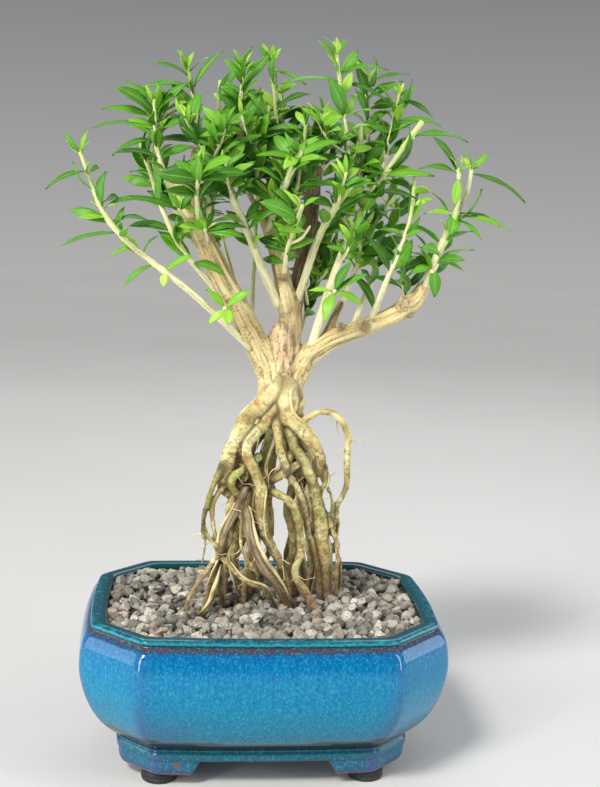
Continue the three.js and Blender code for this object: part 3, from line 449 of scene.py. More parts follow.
def grow_feet(bm, column, inner):
    """Draws the corner stretches of the band under the pot down into feet whose ends lean inwards."""
    plan = pot_plan(FOOT_INSET)

    def is_foot(face):
        middle = face.calc_center_median()
        on_band = len(face.verts) == 4 and abs(middle.z - UNDERSIDE) < 0.01
        outer = [plan[vert[column]] for vert in face.verts]
        far = all(abs(p.x) > FOOT_INNER_X - 0.2 and abs(p.y) > FOOT_INNER_Y - 0.2 for p in outer)
        return on_band and far and {vert[inner] for vert in face.verts} == {0, 1}

    faces = [face for face in bm.faces if is_foot(face)]
    for height, inset in FOOT_WALL:
        new = bmesh.ops.extrude_face_region(bm, geom=faces)["geom"]
        bmesh.ops.delete(bm, geom=faces, context="FACES")
        faces = of_type(new, bmesh.types.BMFace)
        share = (UNDERSIDE - height) / (UNDERSIDE - FOOT_BOTTOM)
        plans = [pot_plan(inset), pot_plan(FOOT_HOLLOW)]
        for vert in of_type(new, bmesh.types.BMVert):
            place = plans[vert[inner]][vert[column]].copy()
            shift = FOOT_END_SLOPE * share
            flare = FOOT_END_FLARE * vert[inner]
            place.x = math.copysign(max(abs(place.x), FOOT_INNER_X - flare + shift), place.x)
            place.y = math.copysign(max(abs(place.y), FOOT_INNER_Y - flare + shift), place.y)
            vert.co = (*place, height)


# The glaze pooled and ran in the fire: teal on the lip, with a pale cyan line along the lip's outer edge that is a
# painted highlight, rusty brown where it broke thin below it, streaked deep blue to turquoise down the belly,
# greyer over the plinth and darker in the groove and under the belly, partly the glaze and partly painted shade,
# all under one clear glossy coat.
# The pale cyan stop at 0.982, along the lip's outer edge, is a painted highlight.
GLAZE_BANDS = [(0.0, (0.20, 0.09, 0.06)), (0.018, (0.14, 0.07, 0.06)), (0.032, (0.04, 0.055, 0.11)),
               (0.055, (0.016, 0.085, 0.165)), (0.10, (0.014, 0.10, 0.17)), (0.122, (0.02, 0.055, 0.09)),
               # Stops 0.178 to 0.225, in the groove and under the belly's bulge, are darker and greyer: partly the
               # glaze, partly painted shade.
               (0.135, (0.012, 0.10, 0.135)), (0.165, (0.014, 0.11, 0.145)), (0.178, (0.012, 0.085, 0.11)),
               (0.195, (0.024, 0.075, 0.09)), (0.225, (0.026, 0.095, 0.12)), (0.262, (0.012, 0.155, 0.23)),
               (0.42, (0.008, 0.195, 0.32)), (0.60, (0.001, 0.185, 0.34)), (0.77, (0.001, 0.155, 0.33)),
               (0.87, (0.001, 0.115, 0.29)), (0.922, (0.003, 0.085, 0.24)), (0.938, (0.03, 0.03, 0.07)),
               (0.948, (0.075, 0.036, 0.024)), (0.957, (0.05, 0.03, 0.024)), (0.968, (0.002, 0.065, 0.09)),
               (0.982, (0.02, 0.26, 0.32)), (1.0, (0.0, 0.052, 0.074))]
GLAZE_TOP = 65
CHIP_PLACE = (-37.7, -44.5, 5.2)
CHIP_SIZE = 1.9
CHIP_RAGGED = 0.7


def running_glaze():
    look = Look("running_glaze")
    place = look.place()
    near_crease, inside, _, _ = look.channels("wall")
    speckle = look.drawn_out(place, 1150, 700, 3.0, 0.7)
    streaks = look.drawn_out(place, 700, 60, 4.0, 0.65)
    runs = look.drawn_out(place, 330, 30, 3.0)
    clouds = look.noise(place, 26.0, 3.0)
    height = look.times(look.split(place)[2], 1 / (GLAZE_TOP * METRE))
    height = look.math("SUBTRACT", height, POT_MIDDLE.z / (GLAZE_TOP * METRE))
    wander = look.level(runs, 0.2, 0.8, -0.013, 0.013)
    colour = look.ramp(look.plus(height, wander), GLAZE_BANDS)
    belly = look.times(look.level(height, 0.2, 0.3), look.level(height, 0.96, 0.88))
    light = look.times(look.level(streaks, 0.5, 0.72, 0, 0.45), belly)
    colour = look.mix(light, colour, (0.008, 0.27, 0.44))
    dark = look.times(look.level(streaks, 0.44, 0.26, 0, 0.55), belly)
    colour = look.mix(dark, colour, (0.002, 0.09, 0.28))
    colour = look.over(colour, speckle, 0.52, 0.64, 0.5, (0.03, 0.32, 0.48))
    colour = look.over(colour, speckle, 0.48, 0.36, 0.5, (0.001, 0.085, 0.20))
    violet = look.times(look.level(clouds, 0.56, 0.72, 0.0, 0.3), look.level(height, 0.6, 0.4))
    violet = look.times(violet, belly)
    colour = look.mix(violet, colour, (0.06, 0.075, 0.27))
    crease = look.times(look.math("POWER", near_crease, 3.0), look.level(streaks, 0.35, 0.6, 0.2, 0.8))
    crease = look.times(crease, look.level(height, 0.72, 0.45, 0.35, 1.0))
    colour = look.mix(look.times(crease, look.level(height, 0.97, 0.9)), colour, (0.06, 0.075, 0.24))
    chip = look.add("VectorMath", {0: place, 1: TO_ROW @ Vector(CHIP_PLACE)}, operation="DISTANCE").outputs["Value"]
    chip = look.plus(chip, look.level(speckle, 0.3, 0.7, -CHIP_RAGGED * METRE, CHIP_RAGGED * METRE))
    colour = look.mix(look.level(chip, CHIP_SIZE * METRE, 0.6 * CHIP_SIZE * METRE), colour, (0.16, 0.075, 0.04))
    lining = look.ramp(look.level(height, 0.8, 1.0), [(0.5, (0.008, 0.018, 0.022)), (0.78, (0.03, 0.028, 0.022)),
                                                      (0.92, (0.002, 0.06, 0.075))])
    colour = look.mix(inside, colour, lining)
    skin = look.noise(place, 420.0, 2.0)
    rough = look.level(clouds, 0.3, 0.7, 0.05, 0.12)
    return look.surface(Base_Color=colour, Roughness=rough, Normal=look.bump(skin, 0.05, 0.3),
                        Specular_IOR_Level=0.34)


make_pot()


# The pads: four discs of moulded black rubber, glued under the feet so that the pot doesn't scratch what it
# stands on. Their edges are eased, a shallow groove runs round them, and the rubber has a fine grain.
PAD_HEIGHT = 4.6
PAD_SIDES = 48
PAD_RADIUS = 7.8
PAD_EASE = 0.8
PAD_X = 45
PAD_Y = 34.5
PAD_PROFILE = [(0, 0), (PAD_RADIUS - 1.6, 0), (PAD_RADIUS - PAD_EASE, 0.05), (PAD_RADIUS - 0.2, 0.3),
               (PAD_RADIUS, PAD_EASE), (PAD_RADIUS, 1.9), (PAD_RADIUS - 0.25, 2.1), (PAD_RADIUS - 0.25, 2.4),
               (PAD_RADIUS, 2.6), (PAD_RADIUS, PAD_HEIGHT - 0.5), (PAD_RADIUS - 0.4, PAD_HEIGHT - 0.1),
               (PAD_RADIUS - 0.9, PAD_HEIGHT), (0, PAD_HEIGHT)]


def moulded_rubber():
    look = Look("moulded_rubber")
    place = look.place()
    grain = look.noise(place, 1900.0, 3.0, 0.7)
    dust = look.noise(place, 160.0, 4.0)
    colour = look.mix(look.level(dust, 0.5, 0.8, 0, 0.6), (0.012, 0.012, 0.013), (0.06, 0.055, 0.05))
    return look.surface(Base_Color=colour, Roughness=look.level(grain, 0.3, 0.7, 0.55, 0.85),
                        Normal=look.bump(grain, 0.12, 0.8))


def make_pads():
    rubber = moulded_rubber()
    for name, x, y in (("front_left", -1, -1), ("front_right", 1, -1), ("back_left", -1, 1),
                       ("back_right", 1, 1)):
        bm = bmesh.new()
        profile = [bm.verts.new((radius, 0, height)) for radius, height in PAD_PROFILE]
        edges = [bm.edges.new(pair) for pair in zip(profile, profile[1:])]
        bmesh.ops.spin(bm, geom=profile + edges, cent=(0, 0, 0), axis=(0, 0, 1), angle=2 * math.pi,
                       steps=PAD_SIDES, use_merge=True)
        bmesh.ops.remove_doubles(bm, verts=bm.verts, dist=1e-3)
        bmesh.ops.recalc_face_normals(bm, faces=bm.faces)
        bmesh.ops.translate(bm, vec=(x * PAD_X, y * PAD_Y, FOOT_BOTTOM - PAD_HEIGHT), verts=bm.verts)
        stand_for(finish_mesh(bm, "foot_pad_" + name, rubber), "rubber", "rubber_pad_" + name)


make_pads()


# The drain screens: two grids of moulded black plastic. They lie loose on the floor over the drainage holes,
# under the soil, and hold the grit back while water runs out.
def moulded_screen():
    look = Look("moulded_screen")
    grain = look.noise(look.place(), 900.0, 2.0)
    return look.surface(Base_Color=look.ramp(grain, [(0.3, (0.012, 0.012, 0.012)), (0.7, (0.03, 0.03, 0.03))]),
                        Roughness=look.level(grain, 0.3, 0.7, 0.45, 0.65), Normal=look.bump(grain, 0.05, 0.4))


def paint_node(name, material):
    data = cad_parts[name].data
    data.materials.clear()
    data.materials.append(material)


screen_plastic = moulded_screen()
paint_node("drain_screen_left", screen_plastic)
paint_node("drain_screen_right", screen_plastic)


# The soil: dark, damp grit that fills the pot up to the gravel, pressed down by hand. The roots' lower ends
# stand in it.
def damp_grit():
    look = Look("damp_grit")
    place = look.place()
    crumbs = look.add("TexVoronoi", {"Vector": place, "Scale": 520.0}).outputs["Distance"]
    cloud = look.noise(place, 60.0)
    colour = look.mix(cloud, (0.012, 0.010, 0.008), (0.045, 0.040, 0.034))
    return look.surface(Base_Color=colour, Roughness=0.9, Normal=look.bump(crumbs, 0.6, 0.9))


paint_node("soil", damp_grit())


# The wood: roots, trunk and pruned limbs grew as one piece. The roots stand bare above the soil, braided and
# knotty; the trunk and limbs have pale, stringy bark that splits along the grain.
WOOD_SPACING = 13.5
ROOT_SPACING = 5
ROOT_END = 62
ROOT_DEPTH = 8
FIRST_SIDE = Vector((0.37, 0.89, 0.21))
CURVE_STEPS = 200
RING_AHEAD = 0.01
END_RADIUS = 0.6

# Each limb and root: its path outwards or down, its radii, and what it is. A root that ends at the height
# ROOT_END goes on into the soil.
LIMBS = [
    ([(6, 0, 138), (6, 0, 150), (5, 0, 164), (6, -1, 188)], [4, 10.8, 10.4, 9.6, 6], "trunk"),
    ([(4, 0, 162), (-5, -2, 180), (-22, -7, 210), (-42, -10, 250)], [8, 5.6, 5, 4.3], "limb"),
    ([(-30, -9, 226), (-35, -4, 243), (-34, 0, 264)], [3.6, 2.2], "limb"),
    ([(6, 0, 162), (8, -1, 180), (9, 1, 203)], [8, 6, 4.8], "trunk"),
    ([(8, 0, 196), (1, -2, 222), (-7, -4, 243)], [4.6, 3.2, 2.6], "limb"),
    ([(9, 2, 194), (15, 11, 220), (19, 15, 258)], [4.4, 3.8, 3.3], "dead"),
    ([(8, 0, 165), (20, -3, 180), (40, -6, 190), (58, -8, 199), (66, -8, 209)],
     [8, 4.8, 4.2, 3.8, 4.2, 3], "limb"),
    ([(23, -3, 182), (31, 1, 200)], [2.4, 1.6], "stub"),
]
ROOTS = [
    ([(9, -2, 163), (2, -7, 160), (-6, -11, 154), (-12, -13, 146), (-16, -13, 137), (-19, -13, 128),
      (-20, -12, 121), (-17, -10, 115)], [4.5, 4.1, 3.9, 3.7, 3.5, 3.5, 3.3, 2.2], "pale"),
    ([(5, -4, 159), (1, -9, 153), (-3, -13, 146), (-9, -15, 141), (-10, -16, 135), (-6, -16, 127), (-3, -16, 118),
      (-3, -16, 108), (-1, -14, 98), (4, -12, 89), (8, -8, 79), (12, -3, 62)],
     [4, 3, 2.7, 2.7, 2.8, 2.8, 2.7, 2.5, 2.3, 2.1, 1.9], "pale"),
    ([(-4, -11, 133), (-10, -15, 129), (-15, -16, 125), (-15, -15, 119), (-10, -12, 114)], [2.1, 2, 1.9, 1.6],
     "green"),
    ([(3, -4, 157), (2, -10, 150), (4, -12, 143), (5, -13, 135), (8, -13, 127)], [2.8, 2.2, 2, 1.8], "pale"),
    ([(-7, -9, 119), (-2, -11, 121), (4, -12, 124), (10, -12, 128), (16, -8, 131)], [2.5, 2.2, 2.4, 2.2, 1.8],
     "rusty"),
    ([(9, -2, 165), (6, -8, 158), (8, -11, 151), (13, -12, 146), (19, -12, 140), (23, -10, 132), (25, -8, 125)],
     [4.5, 3.4, 3.1, 3, 2.9, 2.5, 1.3], "pale"),
    ([(25, -9, 129), (26, -9, 122), (24, -9, 115), (26, -7, 107)], [1.2, 0.8], "pale"),
    ([(9, 1, 157), (9, -5, 147), (11, -8, 138), (16, -9, 130), (20, -9, 121), (23, -8, 111), (25, -6, 98),
      (27, -3, 86), (28, 0, 76), (30, 3, 62)], [4.5, 3.2, 2.9, 2.9, 3.1, 3.3, 3.3, 3.1, 2.8, 2.6], "green"),
    ([(7, -1, 142), (1, -4, 135), (-4, -6, 128), (-7, -7, 119)], [3.2, 2.9, 2.5], "green"),
    ([(4, 0, 149), (1, -4, 138), (-2, -7, 128), (2, -9, 117)], [4, 3, 2.5], "green"),
    ([(-3, -9, 119), (3, -13, 117), (8, -15, 115), (13, -15, 108), (15, -14, 98), (15, -13, 88), (13, -14, 80),
      (18, -15, 72), (23, -16, 62)], [1.9, 2, 2.2, 2.2, 2.2, 2.1, 2, 1.8, 1.5], "green"),
    ([(8, -12, 127), (13, -11, 118), (17, -10, 108), (19, -8, 98), (23, -5, 87), (26, 0, 62)],
     [1.9, 1.7, 1.5, 1.3], "rusty"),
    ([(-9, -13, 119), (-14, -17, 110), (-19, -20, 99), (-20, -18, 87), (-19, -13, 75), (-19, -8, 62)],
     [2, 2, 1.9, 1.7, 1.6], "dead"),
    ([(-13, -13, 117), (-9, -18, 107), (-7, -20, 97), (-2, -19, 86), (6, -15, 75), (13, -8, 62)],
     [1.8, 2.3, 2.7, 2.7, 2.4], "dead"),
    ([(-18, -13, 131), (-23, -16, 123), (-26, -17, 115), (-28, -18, 106), (-25, -20, 98), (-20, -21, 92)],
     [1.5, 1.3, 1.2, 1], "green"),
    ([(-27, -17, 110), (-28, -19, 102), (-27, -20, 95), (-28, -20, 87)], [1, 0.7], "green"),
    ([(-18, -13, 121), (-23, -16, 115), (-24, -16, 107), (-22, -19, 98)], [1.6, 1.3, 1], "pale"),
    ([(-19, -20, 93), (-25, -24, 87), (-31, -26, 78), (-35, -27, 70), (-34, -26, 62)], [1.3, 1.2, 1.1], "pale"),
    ([(-20, -18, 88), (-22, -20, 77), (-24, -20, 70), (-28, -19, 62)], [1.6, 1.4, 1.6], "rusty"),
    ([(-22, -21, 93), (-14, -22, 84), (-7, -21, 78), (-1, -18, 75), (3, -13, 70), (6, -8, 62)], [1.2, 1.1, 1],
     "pale"),
    ([(-11, -17, 112), (-12, -19, 101), (-10, -20, 92), (-4, -18, 82), (-1, -10, 74), (1, 2, 62)], [1, 0.9],
     "pale"),
    ([(-12, -12, 114), (-15, -15, 104), (-18, -17, 94), (-22, -18, 84), (-25, -16, 74), (-26, -14, 62)],
     [1.9, 1.6, 1.5, 1.2], "green"),
    ([(-10, -9, 120), (-13, -6, 107), (-12, -2, 95), (-13, 3, 81), (-9, 13, 62)], [2.2, 2, 2, 1.8], "green"),
    ([(13, -7, 145), (17, -10, 150), (22, -11, 153), (28, -11, 152), (33, -10, 147), (35, -8, 140),
      (35, -8, 127), (35, -7, 117), (32, -6, 111), (32, -5, 103), (29, -4, 96)], [2, 1.5, 1.4, 1.4, 1.3, 1.3],
     "pale"),
    ([(30, -4, 109), (33, -1, 100), (33, 2, 89), (36, 5, 78), (36, 11, 62)], [1.4, 1.2, 1.1], "pale"),
    ([(22, -7, 126), (27, -8, 118), (30, -7, 109), (30, -3, 97)], [1.1, 0.9], "green"),
    ([(25, -5, 109), (31, -6, 97), (33, -5, 86), (34, 2, 62)], [1.5, 1.2, 1], "green"),
    ([(14, -1, 132), (16, 4, 114), (14, 8, 96), (12, 13, 79), (10, 19, 62)], [2.4, 2, 1.6], "green"),
    ([(3, 2, 150), (-6, 7, 134), (-9, 11, 117), (-8, 14, 92), (-19, 22, 62)], [4, 2.8, 2.2, 2], "pale"),
    ([(7, 3, 150), (14, 8, 133), (18, 13, 117), (18, 18, 88), (22, 24, 62)], [4, 2.7, 2, 1.9], "green"),
    ([(4, 4, 146), (2, 14, 110), (4, 18, 86), (0, 22, 62)], [3, 1.7, 1.5], "pale"),
    ([(-6, -8, 128), (-4, -11, 120), (-6, -13, 110), (-5, -13, 99), (-8, -11, 86), (-9, -6, 62)],
     [2.3, 2, 1.8, 1.5], "rusty"),
    ([(13, -7, 139), (8, -10, 131), (2, -12, 123), (-3, -12, 114)], [2.3, 2, 1.6], "pale"),
    ([(16, -6, 133), (20, -8, 124), (18, -8, 114), (21, -6, 103), (19, -3, 92), (22, 1, 80), (21, 7, 62)],
     [2.1, 1.8, 1.6], "rusty"),
    ([(-14, -9, 134), (-11, -11, 126), (-13, -12, 118), (-17, -12, 110), (-16, -11, 100), (-17, -8, 88),
      (-18, -3, 62)], [2, 1.8, 1.7, 1.5], "pale"),
    ([(19, -5, 118), (25, -2, 106), (29, 0, 92), (31, 3, 78), (32, 7, 62)], [1.6, 1.5, 1.3], "green"),
    ([(0, 2, 150), (-6, 0, 140), (-12, -3, 130), (-15, -4, 120), (-14, 0, 106), (-16, 6, 90), (-20, 13, 62)],
     [3.4, 3, 2.6, 2.2, 1.9], "rusty"),
    ([(8, 3, 148), (5, 1, 138), (0, 2, 128), (-4, 3, 118), (-6, 4, 104), (-3, 8, 90), (-4, 15, 62)],
     [3.4, 3, 2.6, 2.2, 1.9], "green"),
    ([(10, 2, 146), (16, -1, 137), (20, -1, 128), (21, 2, 116), (24, 6, 100), (25, 10, 84), (28, 15, 62)],
     [3.2, 2.8, 2.4, 2.1, 1.8], "pale"),
    ([(5, -2, 142), (10, -4, 132), (12, -4, 120), (10, -3, 108), (13, 0, 92), (12, 4, 77), (16, 9, 62)],
     [3, 2.5, 2.1, 1.7], "pale"),
]


def centre_line(path, spacing):
    """Rings evenly spread along the curve through a path: centre, direction and share of the way."""
    points = [Vector(point) for point in path]
    fine = [catmull(points, k / CURVE_STEPS) for k in range(CURVE_STEPS + 1)]
    length = sum((b - a).length for a, b in zip(fine, fine[1:]))
    steps = max(2, math.floor(length / spacing + 0.5))
    line = []
    for k in range(steps + 1):
        share = k / steps
        low, high = max(share - 1e-4, 0), min(share + 1e-4, 1)
        tangent = (catmull(points, high) - catmull(points, low)).normalized()
        line.append((catmull(points, share), tangent, share))
    return line


def radius_at(radii, share):
    place = share * (len(radii) - 1)
    before = min(int(place), max(len(radii) - 2, 0))
    after = min(before + 1, len(radii) - 1)
    return radii[before] + (radii[after] - radii[before]) * (place - before)


def carry(side, tangent):
    return (side - tangent * side.dot(tangent)).normalized()


def clamp(value):
    return min(1, max(0, value))


def spoke(side, other, angle):
    """The direction out from a ring's centre at an angle."""
    return side * math.cos(angle) + other * math.sin(angle)


def tree_of(points):
    tree = kdtree.KDTree(len(points))
    for k, point in enumerate(points):
        tree.insert(point, k)
    tree.balance()
    return tree


def ring_centres(path, spacing):
    return [centre for centre, _, _ in centre_line(path, spacing)]


def into_soil(path):
    """A path of the wood; a root's that ends at the gravel is taken on into the soil."""
    x, y, z = path[-1]
    return [*path, (x, y, z - ROOT_DEPTH)] if z == ROOT_END else path


def fine_rings(centres, radii, step, swell=None):
    """Rings close together through a limb's centres: [centre, side, other, radius, run], run in mm."""
    length = sum((b - a).length for a, b in zip(centres, centres[1:]))
    count = max(3, round(length / step))
    side = FIRST_SIDE
    rings = []
    for k in range(count + 1):
        share = k / count
        ahead, behind = catmull(centres, min(share + RING_AHEAD, 1)), catmull(centres, max(share - RING_AHEAD, 0))
        tangent = (ahead - behind).normalized()
        side = carry(side, tangent)
        radius = radius_at(radii, share)
        if swell:
            radius *= swell(share * length)
        rings.append((catmull(centres, share), side, side.cross(tangent), radius, share * length))
    return rings


def take_in(bm, part):
    """Moves a small part's own mesh into the mesh of the whole."""
    mesh = bpy.data.meshes.new("part")
    part.to_mesh(mesh)
    part.free()
    bm.from_mesh(mesh)
    bpy.data.meshes.remove(mesh)


def add_tube(bm, rings, sides, ends=(0.5, 0.5), mark=None):
    """A closed tube through rings; ends says how far each end's rounding reaches, as a share of the radius."""
    first, last = rings[0], rings[-1]
    forward = [(rings[1][0] - first[0]).normalized(), (last[0] - rings[-2][0]).normalized()]
    start = (first[0] - forward[0] * first[3] * ends[0], first[1], first[2], first[3] * END_RADIUS, first[4])
    finish = (last[0] + forward[1] * last[3] * ends[1], last[1], last[2], last[3] * END_RADIUS, last[4])
    rings = [start, *rings, finish]
    tube = bmesh.new()
    marks = mark(tube) if mark else None
    bmesh.ops.create_grid(tube, x_segments=sides, y_segments=len(rings) - 1, size=1)
    for vert in tube.verts:
        turn, row = (vert.co.x + 1) / 2, round((vert.co.y + 1) / 2 * (len(rings) - 1))
        centre, side, other, radius, run = rings[row]
        angle = 2 * math.pi * turn
        vert.co = centre + spoke(side, other, angle) * radius
        if marks:
            marks(vert, math.cos(angle) * radius, math.sin(angle) * radius, run)
    bmesh.ops.remove_doubles(tube, verts=tube.verts, dist=1e-4)
    bmesh.ops.holes_fill(tube, edges=[edge for edge in tube.edges if edge.is_boundary])
    bmesh.ops.recalc_face_normals(tube, faces=tube.faces)
    take_in(bm, tube)


WOOD_VOXEL = 0.74
WOOD_RING = 1.5
ROOT_SHARE = 0.9
ROOT_LOSS = 0.3
ROOT_KINK = 0.75
KINK_SIZE = 8
KINK_STARTS = 12
LIMB_KNOTS = 0.1
ROOT_KNOTS = 0.17
KNOT_SIZES = (11, 4)
QUICK_SHARE = 0.45
LIMB_SIDES = 16
ROOT_SIDES = 10
SETTLE_ROUNDS = 2
STUB_SEED = 3
STUBS = 16
STUB_SIDES = 8
STUBS_ABOVE = 185
STUB_RISE = Vector((0, 0, 0.6))
STUB_LENGTH = (1.2, 3.2)
STUB_RADIUS = (0.9, 1.5)
# How green a root is, or how pink its bark, and how long dead it is.
TINTS = {"trunk": (0.9, 0), "limb": (0.15, 0), "stub": (0.5, 0.4), "dead": (0, 1), "pale": (0.2, 0),
         "green": (1, 0), "rusty": (0.1, 0.25)}


def all_wood():
    """Each limb and root: centres of its rings, radii and kind."""
    pieces = [(ring_centres(path, WOOD_SPACING), radii, kind) for path, radii, kind in LIMBS]
    for path, radii, kind in ROOTS:
        radii = [max(radius * ROOT_SHARE, radius - ROOT_LOSS) for radius in radii]
        pieces.append((ring_centres(into_soil(path), ROOT_SPACING), radii, kind))
    return pieces


WOOD = all_wood()


def knots(seed, strength):
    """How a limb's radius swells and shrinks along it."""
    shift = 37.1 * seed

    def swell(run):
        slow = noise.noise(Vector((run / KNOT_SIZES[0], shift, 0)))
        quick = noise.noise(Vector((run / KNOT_SIZES[1], shift, 9)))
        return 1 + strength * slow + QUICK_SHARE * strength * quick
    return swell


def kink(rings, seed):
    """Bends a root's rings a little off their smooth line, as it grew round stones."""
    bent = []
    for centre, side, other, radius, run in rings:
        drift = noise.noise_vector(Vector((run / KINK_SIZE, 11.3 * seed, 2.5)))
        bend = drift * ROOT_KINK * min(1, run / KINK_STARTS)
        bent.append((centre + bend, side, other, radius, run))
    return bent


def add_stubs(bm, samples):
    """Short ends of twigs that were pruned from the limbs long ago."""
    chance = random.Random(STUB_SEED)
    choices = [ring for ring, limb, kind in samples if kind == "limb" and ring[0].z > STUBS_ABOVE]
    for _ in range(STUBS):
        centre, side, other, radius, run = chance.choice(choices)
        angle = chance.uniform(0, 6.3)
        out = (spoke(side, other, angle) + STUB_RISE).normalized()
        length, thick = radius + chance.uniform(*STUB_LENGTH), chance.uniform(*STUB_RADIUS)
        rings = fine_rings([centre, centre + out * length * 0.6, centre + out * length],
                           [thick * 1.7, thick * 1.2, thick], 1.2)
        add_tube(bm, rings, STUB_SIDES, (0, 0.2))
        samples += [((c, a, b, r, d + run), len(LIMBS) - 1, "stub") for c, a, b, r, d in rings]


def make_wood():
    bm = bmesh.new()
    samples = []
    for i, (centres, radii, kind) in enumerate(WOOD):
        is_limb = i < len(LIMBS)
        rings = fine_rings(centres, radii, WOOD_RING, knots(i, LIMB_KNOTS if is_limb else ROOT_KNOTS))
        rings = rings if is_limb else kink(rings, i)
        add_tube(bm, rings, LIMB_SIDES if is_limb else ROOT_SIDES)
        samples += [(ring, i, kind) for ring in rings]
    add_stubs(bm, samples)
    wood = finish_mesh(bm, "roots_and_trunk", bark_and_root())
    remesh = wood.modifiers.new("grow_together", "REMESH")
    remesh.mode = "VOXEL"
    remesh.voxel_size = WOOD_VOXEL * METRE
    settle = wood.modifiers.new("settle", "SMOOTH")
    settle.factor = 0.5
    settle.iterations = SETTLE_ROUNDS
    bake_modifiers(wood)
    carve_grain(wood.data, samples)
    wood.data.shade_smooth()
    stand_for(wood, "bark", "tree_wood")
    return samples


def bake_modifiers(piece):
    graph = bpy.context.evaluated_depsgraph_get()
    mesh = bpy.data.meshes.new_from_object(piece.evaluated_get(graph))
    piece.modifiers.clear()
    old = piece.data
    name = old.name
    piece.data = mesh
    bpy.data.meshes.remove(old)
    mesh.name = name


BARK_STARTS = 157
BARK_BLEND = 11
BARK_WANDER = 7
NEIGHBOURS = 9
BLEND_SOFTNESS = 0.25
# The next three set how far the painted shade reaches, between roots that touch and among the roots of the mass.
SHADE_GAP = 1.7
SHADE_REACH = 4.5
SHADE_FULL = 20
FIBRE_SIZE = (1.6, 15)
PLATE_SIZE = (3.2, 20)
LUMP_SIZE = 3.6
PIMPLE_SIZE = 1.7
PIMPLE_SHIFT = Vector((9, 9, 9))
CRACK_WIDTH = 0.13
FULL_GRAIN_RADIUS = 7


def grain_noise(spot, size, shift):
    """Noise drawn out along the grain; size is its size across the grain and along it."""
    across, along = size
    return noise.noise(Vector((spot.x / across, spot.y / across, spot.z / along + shift)))


def carve_grain(mesh, samples):
    """Gives each point of the wood its place along and round its limb, its kind and its painted shade, and cuts the
    bark's grain.
    """
    tree = tree_of([ring[0] for ring, _, _ in samples])
    back = TO_ROW.inverted()
    normals = [n.vector.copy() for n in mesh.vertex_normals]
    mesh.attributes.new("grain", "FLOAT_VECTOR", "POINT")
    mesh.attributes.new("tint", "FLOAT_COLOR", "POINT")
    grain, tint = mesh.attributes["grain"], mesh.attributes["tint"]
    for k, vert in enumerate(mesh.vertices):
        place = back @ vert.co
        near = {}
        for _, index, distance in tree.find_n(place, NEIGHBOURS):
            ring, limb, kind = samples[index]
            miss = abs(distance - ring[3])
            if limb not in near or miss < near[limb][0]:
                near[limb] = (miss, ring, kind)
        ranked = sorted((miss, limb) for limb, (miss, _, _) in near.items())
        limb = ranked[0][1]
        miss, (centre, side, other, radius, run), kind = near[limb]
        away = place - centre
        spot = Vector((away.dot(side), away.dot(other), run + away.dot(side.cross(other)) + 61 * limb))
        grain.data[k].vector = spot
        weights = [(1 / (BLEND_SOFTNESS + gap) ** 2, TINTS[near[each][2]]) for gap, each in ranked]
        total = sum(weight for weight, _ in weights)
        green, dead = (sum(weight * values[c] for weight, values in weights) / total for c in (0, 1))
        bark = clamp((place.z - BARK_STARTS + BARK_WANDER * noise.noise(place / 6)) / BARK_BLEND)
        # Painted shade: a point is darkened where another limb lies close by, in the crevice between them, and
        # inside the root mass, where many other limbs stand just in front of it.
        painted_shade = max(0, 1 - (ranked[1][0] - miss) / SHADE_GAP) if len(ranked) > 1 else 0
        ahead = place + normals[k] * SHADE_REACH
        around = sum(1 for _, index, _ in tree.find_range(ahead, SHADE_REACH) if samples[index][1] != limb)
        painted_shade = max(painted_shade, min(1, around / SHADE_FULL) * (1 - bark))
        fibre = grain_noise(spot, FIBRE_SIZE, 0)
        plate = grain_noise(spot, PLATE_SIZE, 7)
        rough = max(bark, dead)
        crack = max(0, 1 - abs(plate) / CRACK_WIDTH) * rough
        lumps = noise.noise(place / LUMP_SIZE)
        pimple = max(0, noise.noise(place / PIMPLE_SIZE + PIMPLE_SHIFT) - 0.25)
        thickness = min(radius, FULL_GRAIN_RADIUS) / FULL_GRAIN_RADIUS
        depth = rough * thickness * (0.5 * fibre + 0.3 * plate - 0.75 * crack)
        depth += (1 - rough) * (0.38 * lumps + 0.2 * fibre + 0.6 * pimple)
        # The tint's alpha holds the painted shade, weaker on the bark, together with the bark's dark cracks.
        tint.data[k].color = (bark, green, dead, min(1, max(painted_shade * (1 - 0.6 * bark), 0.75 * crack)))
        vert.co += normals[k] * depth * METRE


